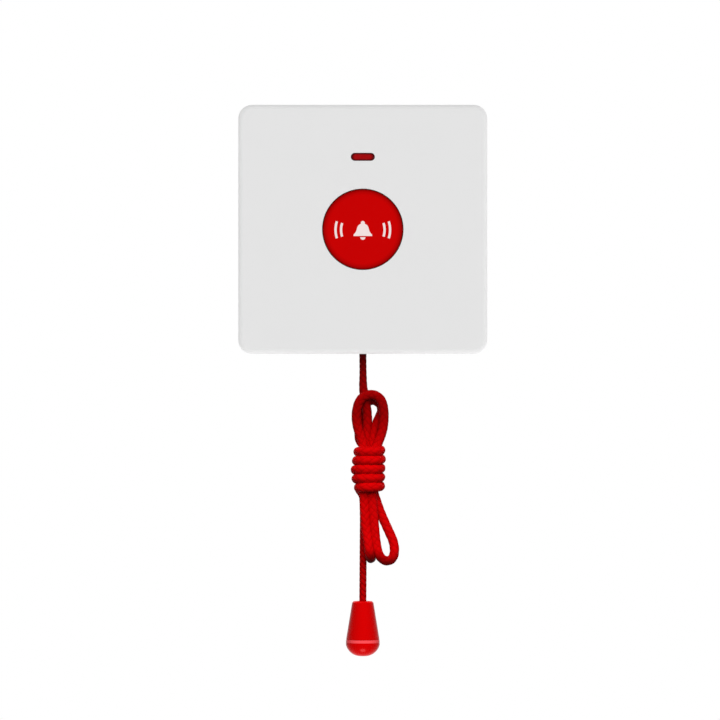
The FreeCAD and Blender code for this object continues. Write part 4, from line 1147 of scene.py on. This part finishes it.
class CALLBUTTON_OT_stage(bpy.types.Operator):
    """Set up the floor, the lamps, the world and the camera"""

    bl_idname = "callbutton.stage"
    bl_label = "Stage"

    def execute(self, context):
        stage = context.scene.call_button_stage
        context.scene.view_settings.view_transform = "Standard"
        world = bpy.data.worlds.new("white studio")
        context.scene.world = world
        world.use_nodes = True
        tree = world.node_tree
        rays = tree.nodes.new("ShaderNodeLightPath")
        seen = calculate(tree, "MAXIMUM", rays.outputs["Is Camera Ray"], rays.outputs["Is Glossy Ray"])
        seen = calculate(tree, "MAXIMUM", seen, rays.outputs["Is Transmission Ray"])
        strength = calculate(tree, "MULTIPLY_ADD", seen, 1.0 - WORLD_LIGHT, WORLD_LIGHT)
        background = tree.nodes["Background"]
        background.inputs["Color"].default_value = (1.0, 1.0, 1.0, 1.0)
        tree.links.new(strength, background.inputs["Strength"])

        bpy.ops.mesh.primitive_plane_add(size=FLOOR_SIZE, location=(0.0, 0.0, FLOOR_Z))
        floor = context.object
        floor.name = "floor"
        paint, _, shader = new_finish("floor paint")
        shader.inputs["Base Color"].default_value = (0.85, 0.85, 0.85, 1.0)
        floor.data.materials.append(paint)
        floor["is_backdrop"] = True
        floor.visible_shadow = floor.visible_diffuse = floor.visible_glossy = False

        groups = {group: bpy.data.collections.new(f"lit {group}")
                  for group in ("housing", "facing", "cords", "toggle", "ground")}
        groups["ground"].objects.link(floor)
        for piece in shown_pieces():
            groups[group_of(piece)].objects.link(piece)
        for *lamp, group in LAMPS:
            add_sun(*lamp, groups[group])
        frame["nodes"]["front_cover"].visible_diffuse = False

        camera = bpy.data.cameras.new("camera")
        camera.sensor_width = 36.0
        camera.lens = camera.sensor_width * stage.distance / stage.framing
        camera.clip_end = 20.0
        seat = bpy.data.objects.new("camera", camera)
        context.scene.collection.objects.link(seat)
        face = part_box("front_cover")[0].y
        seat.location = (CAMERA_X, face - stage.distance, CAMERA_Z)
        seat.rotation_euler = (math.radians(90), 0.0, 0.0)
        context.scene.camera = seat
        return {"FINISHED"}


# -------------------- panel and registration


class CALLBUTTON_PT_pieces(bpy.types.Panel):
    """Lists the pieces in the sidebar"""

    bl_label = "Call Button"
    bl_space_type = "VIEW_3D"
    bl_region_type = "UI"
    bl_category = "Call Button"

    def draw(self, context):
        for operator in OPERATORS:
            self.layout.operator(operator.bl_idname)


OPERATORS = (CALLBUTTON_OT_hanging_cord, CALLBUTTON_OT_stopper_knots, CALLBUTTON_OT_bell_pictogram,
             CALLBUTTON_OT_finishes, CALLBUTTON_OT_stage)
GROUPS = {"call_button_cord": CordProperties, "call_button_pictogram": PictogramProperties,
          "call_button_finishes": FinishProperties, "call_button_stage": StageProperties}
CLASSES = (*GROUPS.values(), *OPERATORS, CALLBUTTON_PT_pieces)


def register():
    """Register the classes and hang the properties on the scene."""
    for kind in CLASSES:
        bpy.utils.register_class(kind)
    for name, kind in GROUPS.items():
        setattr(bpy.types.Scene, name, PointerProperty(type=kind))


def unregister():
    """Take the properties and the classes away again."""
    for name in GROUPS:
        delattr(bpy.types.Scene, name)
    for kind in reversed(CLASSES):
        bpy.utils.unregister_class(kind)


def main():
    """Dress the part and note its size before and after."""
    register()
    bpy.ops.callbutton.hanging_cord()
    bpy.ops.callbutton.stopper_knots()
    bpy.ops.callbutton.bell_pictogram()
    bpy.ops.callbutton.finishes()
    bpy.ops.callbutton.stage()


if __name__ == "__main__":
    main()
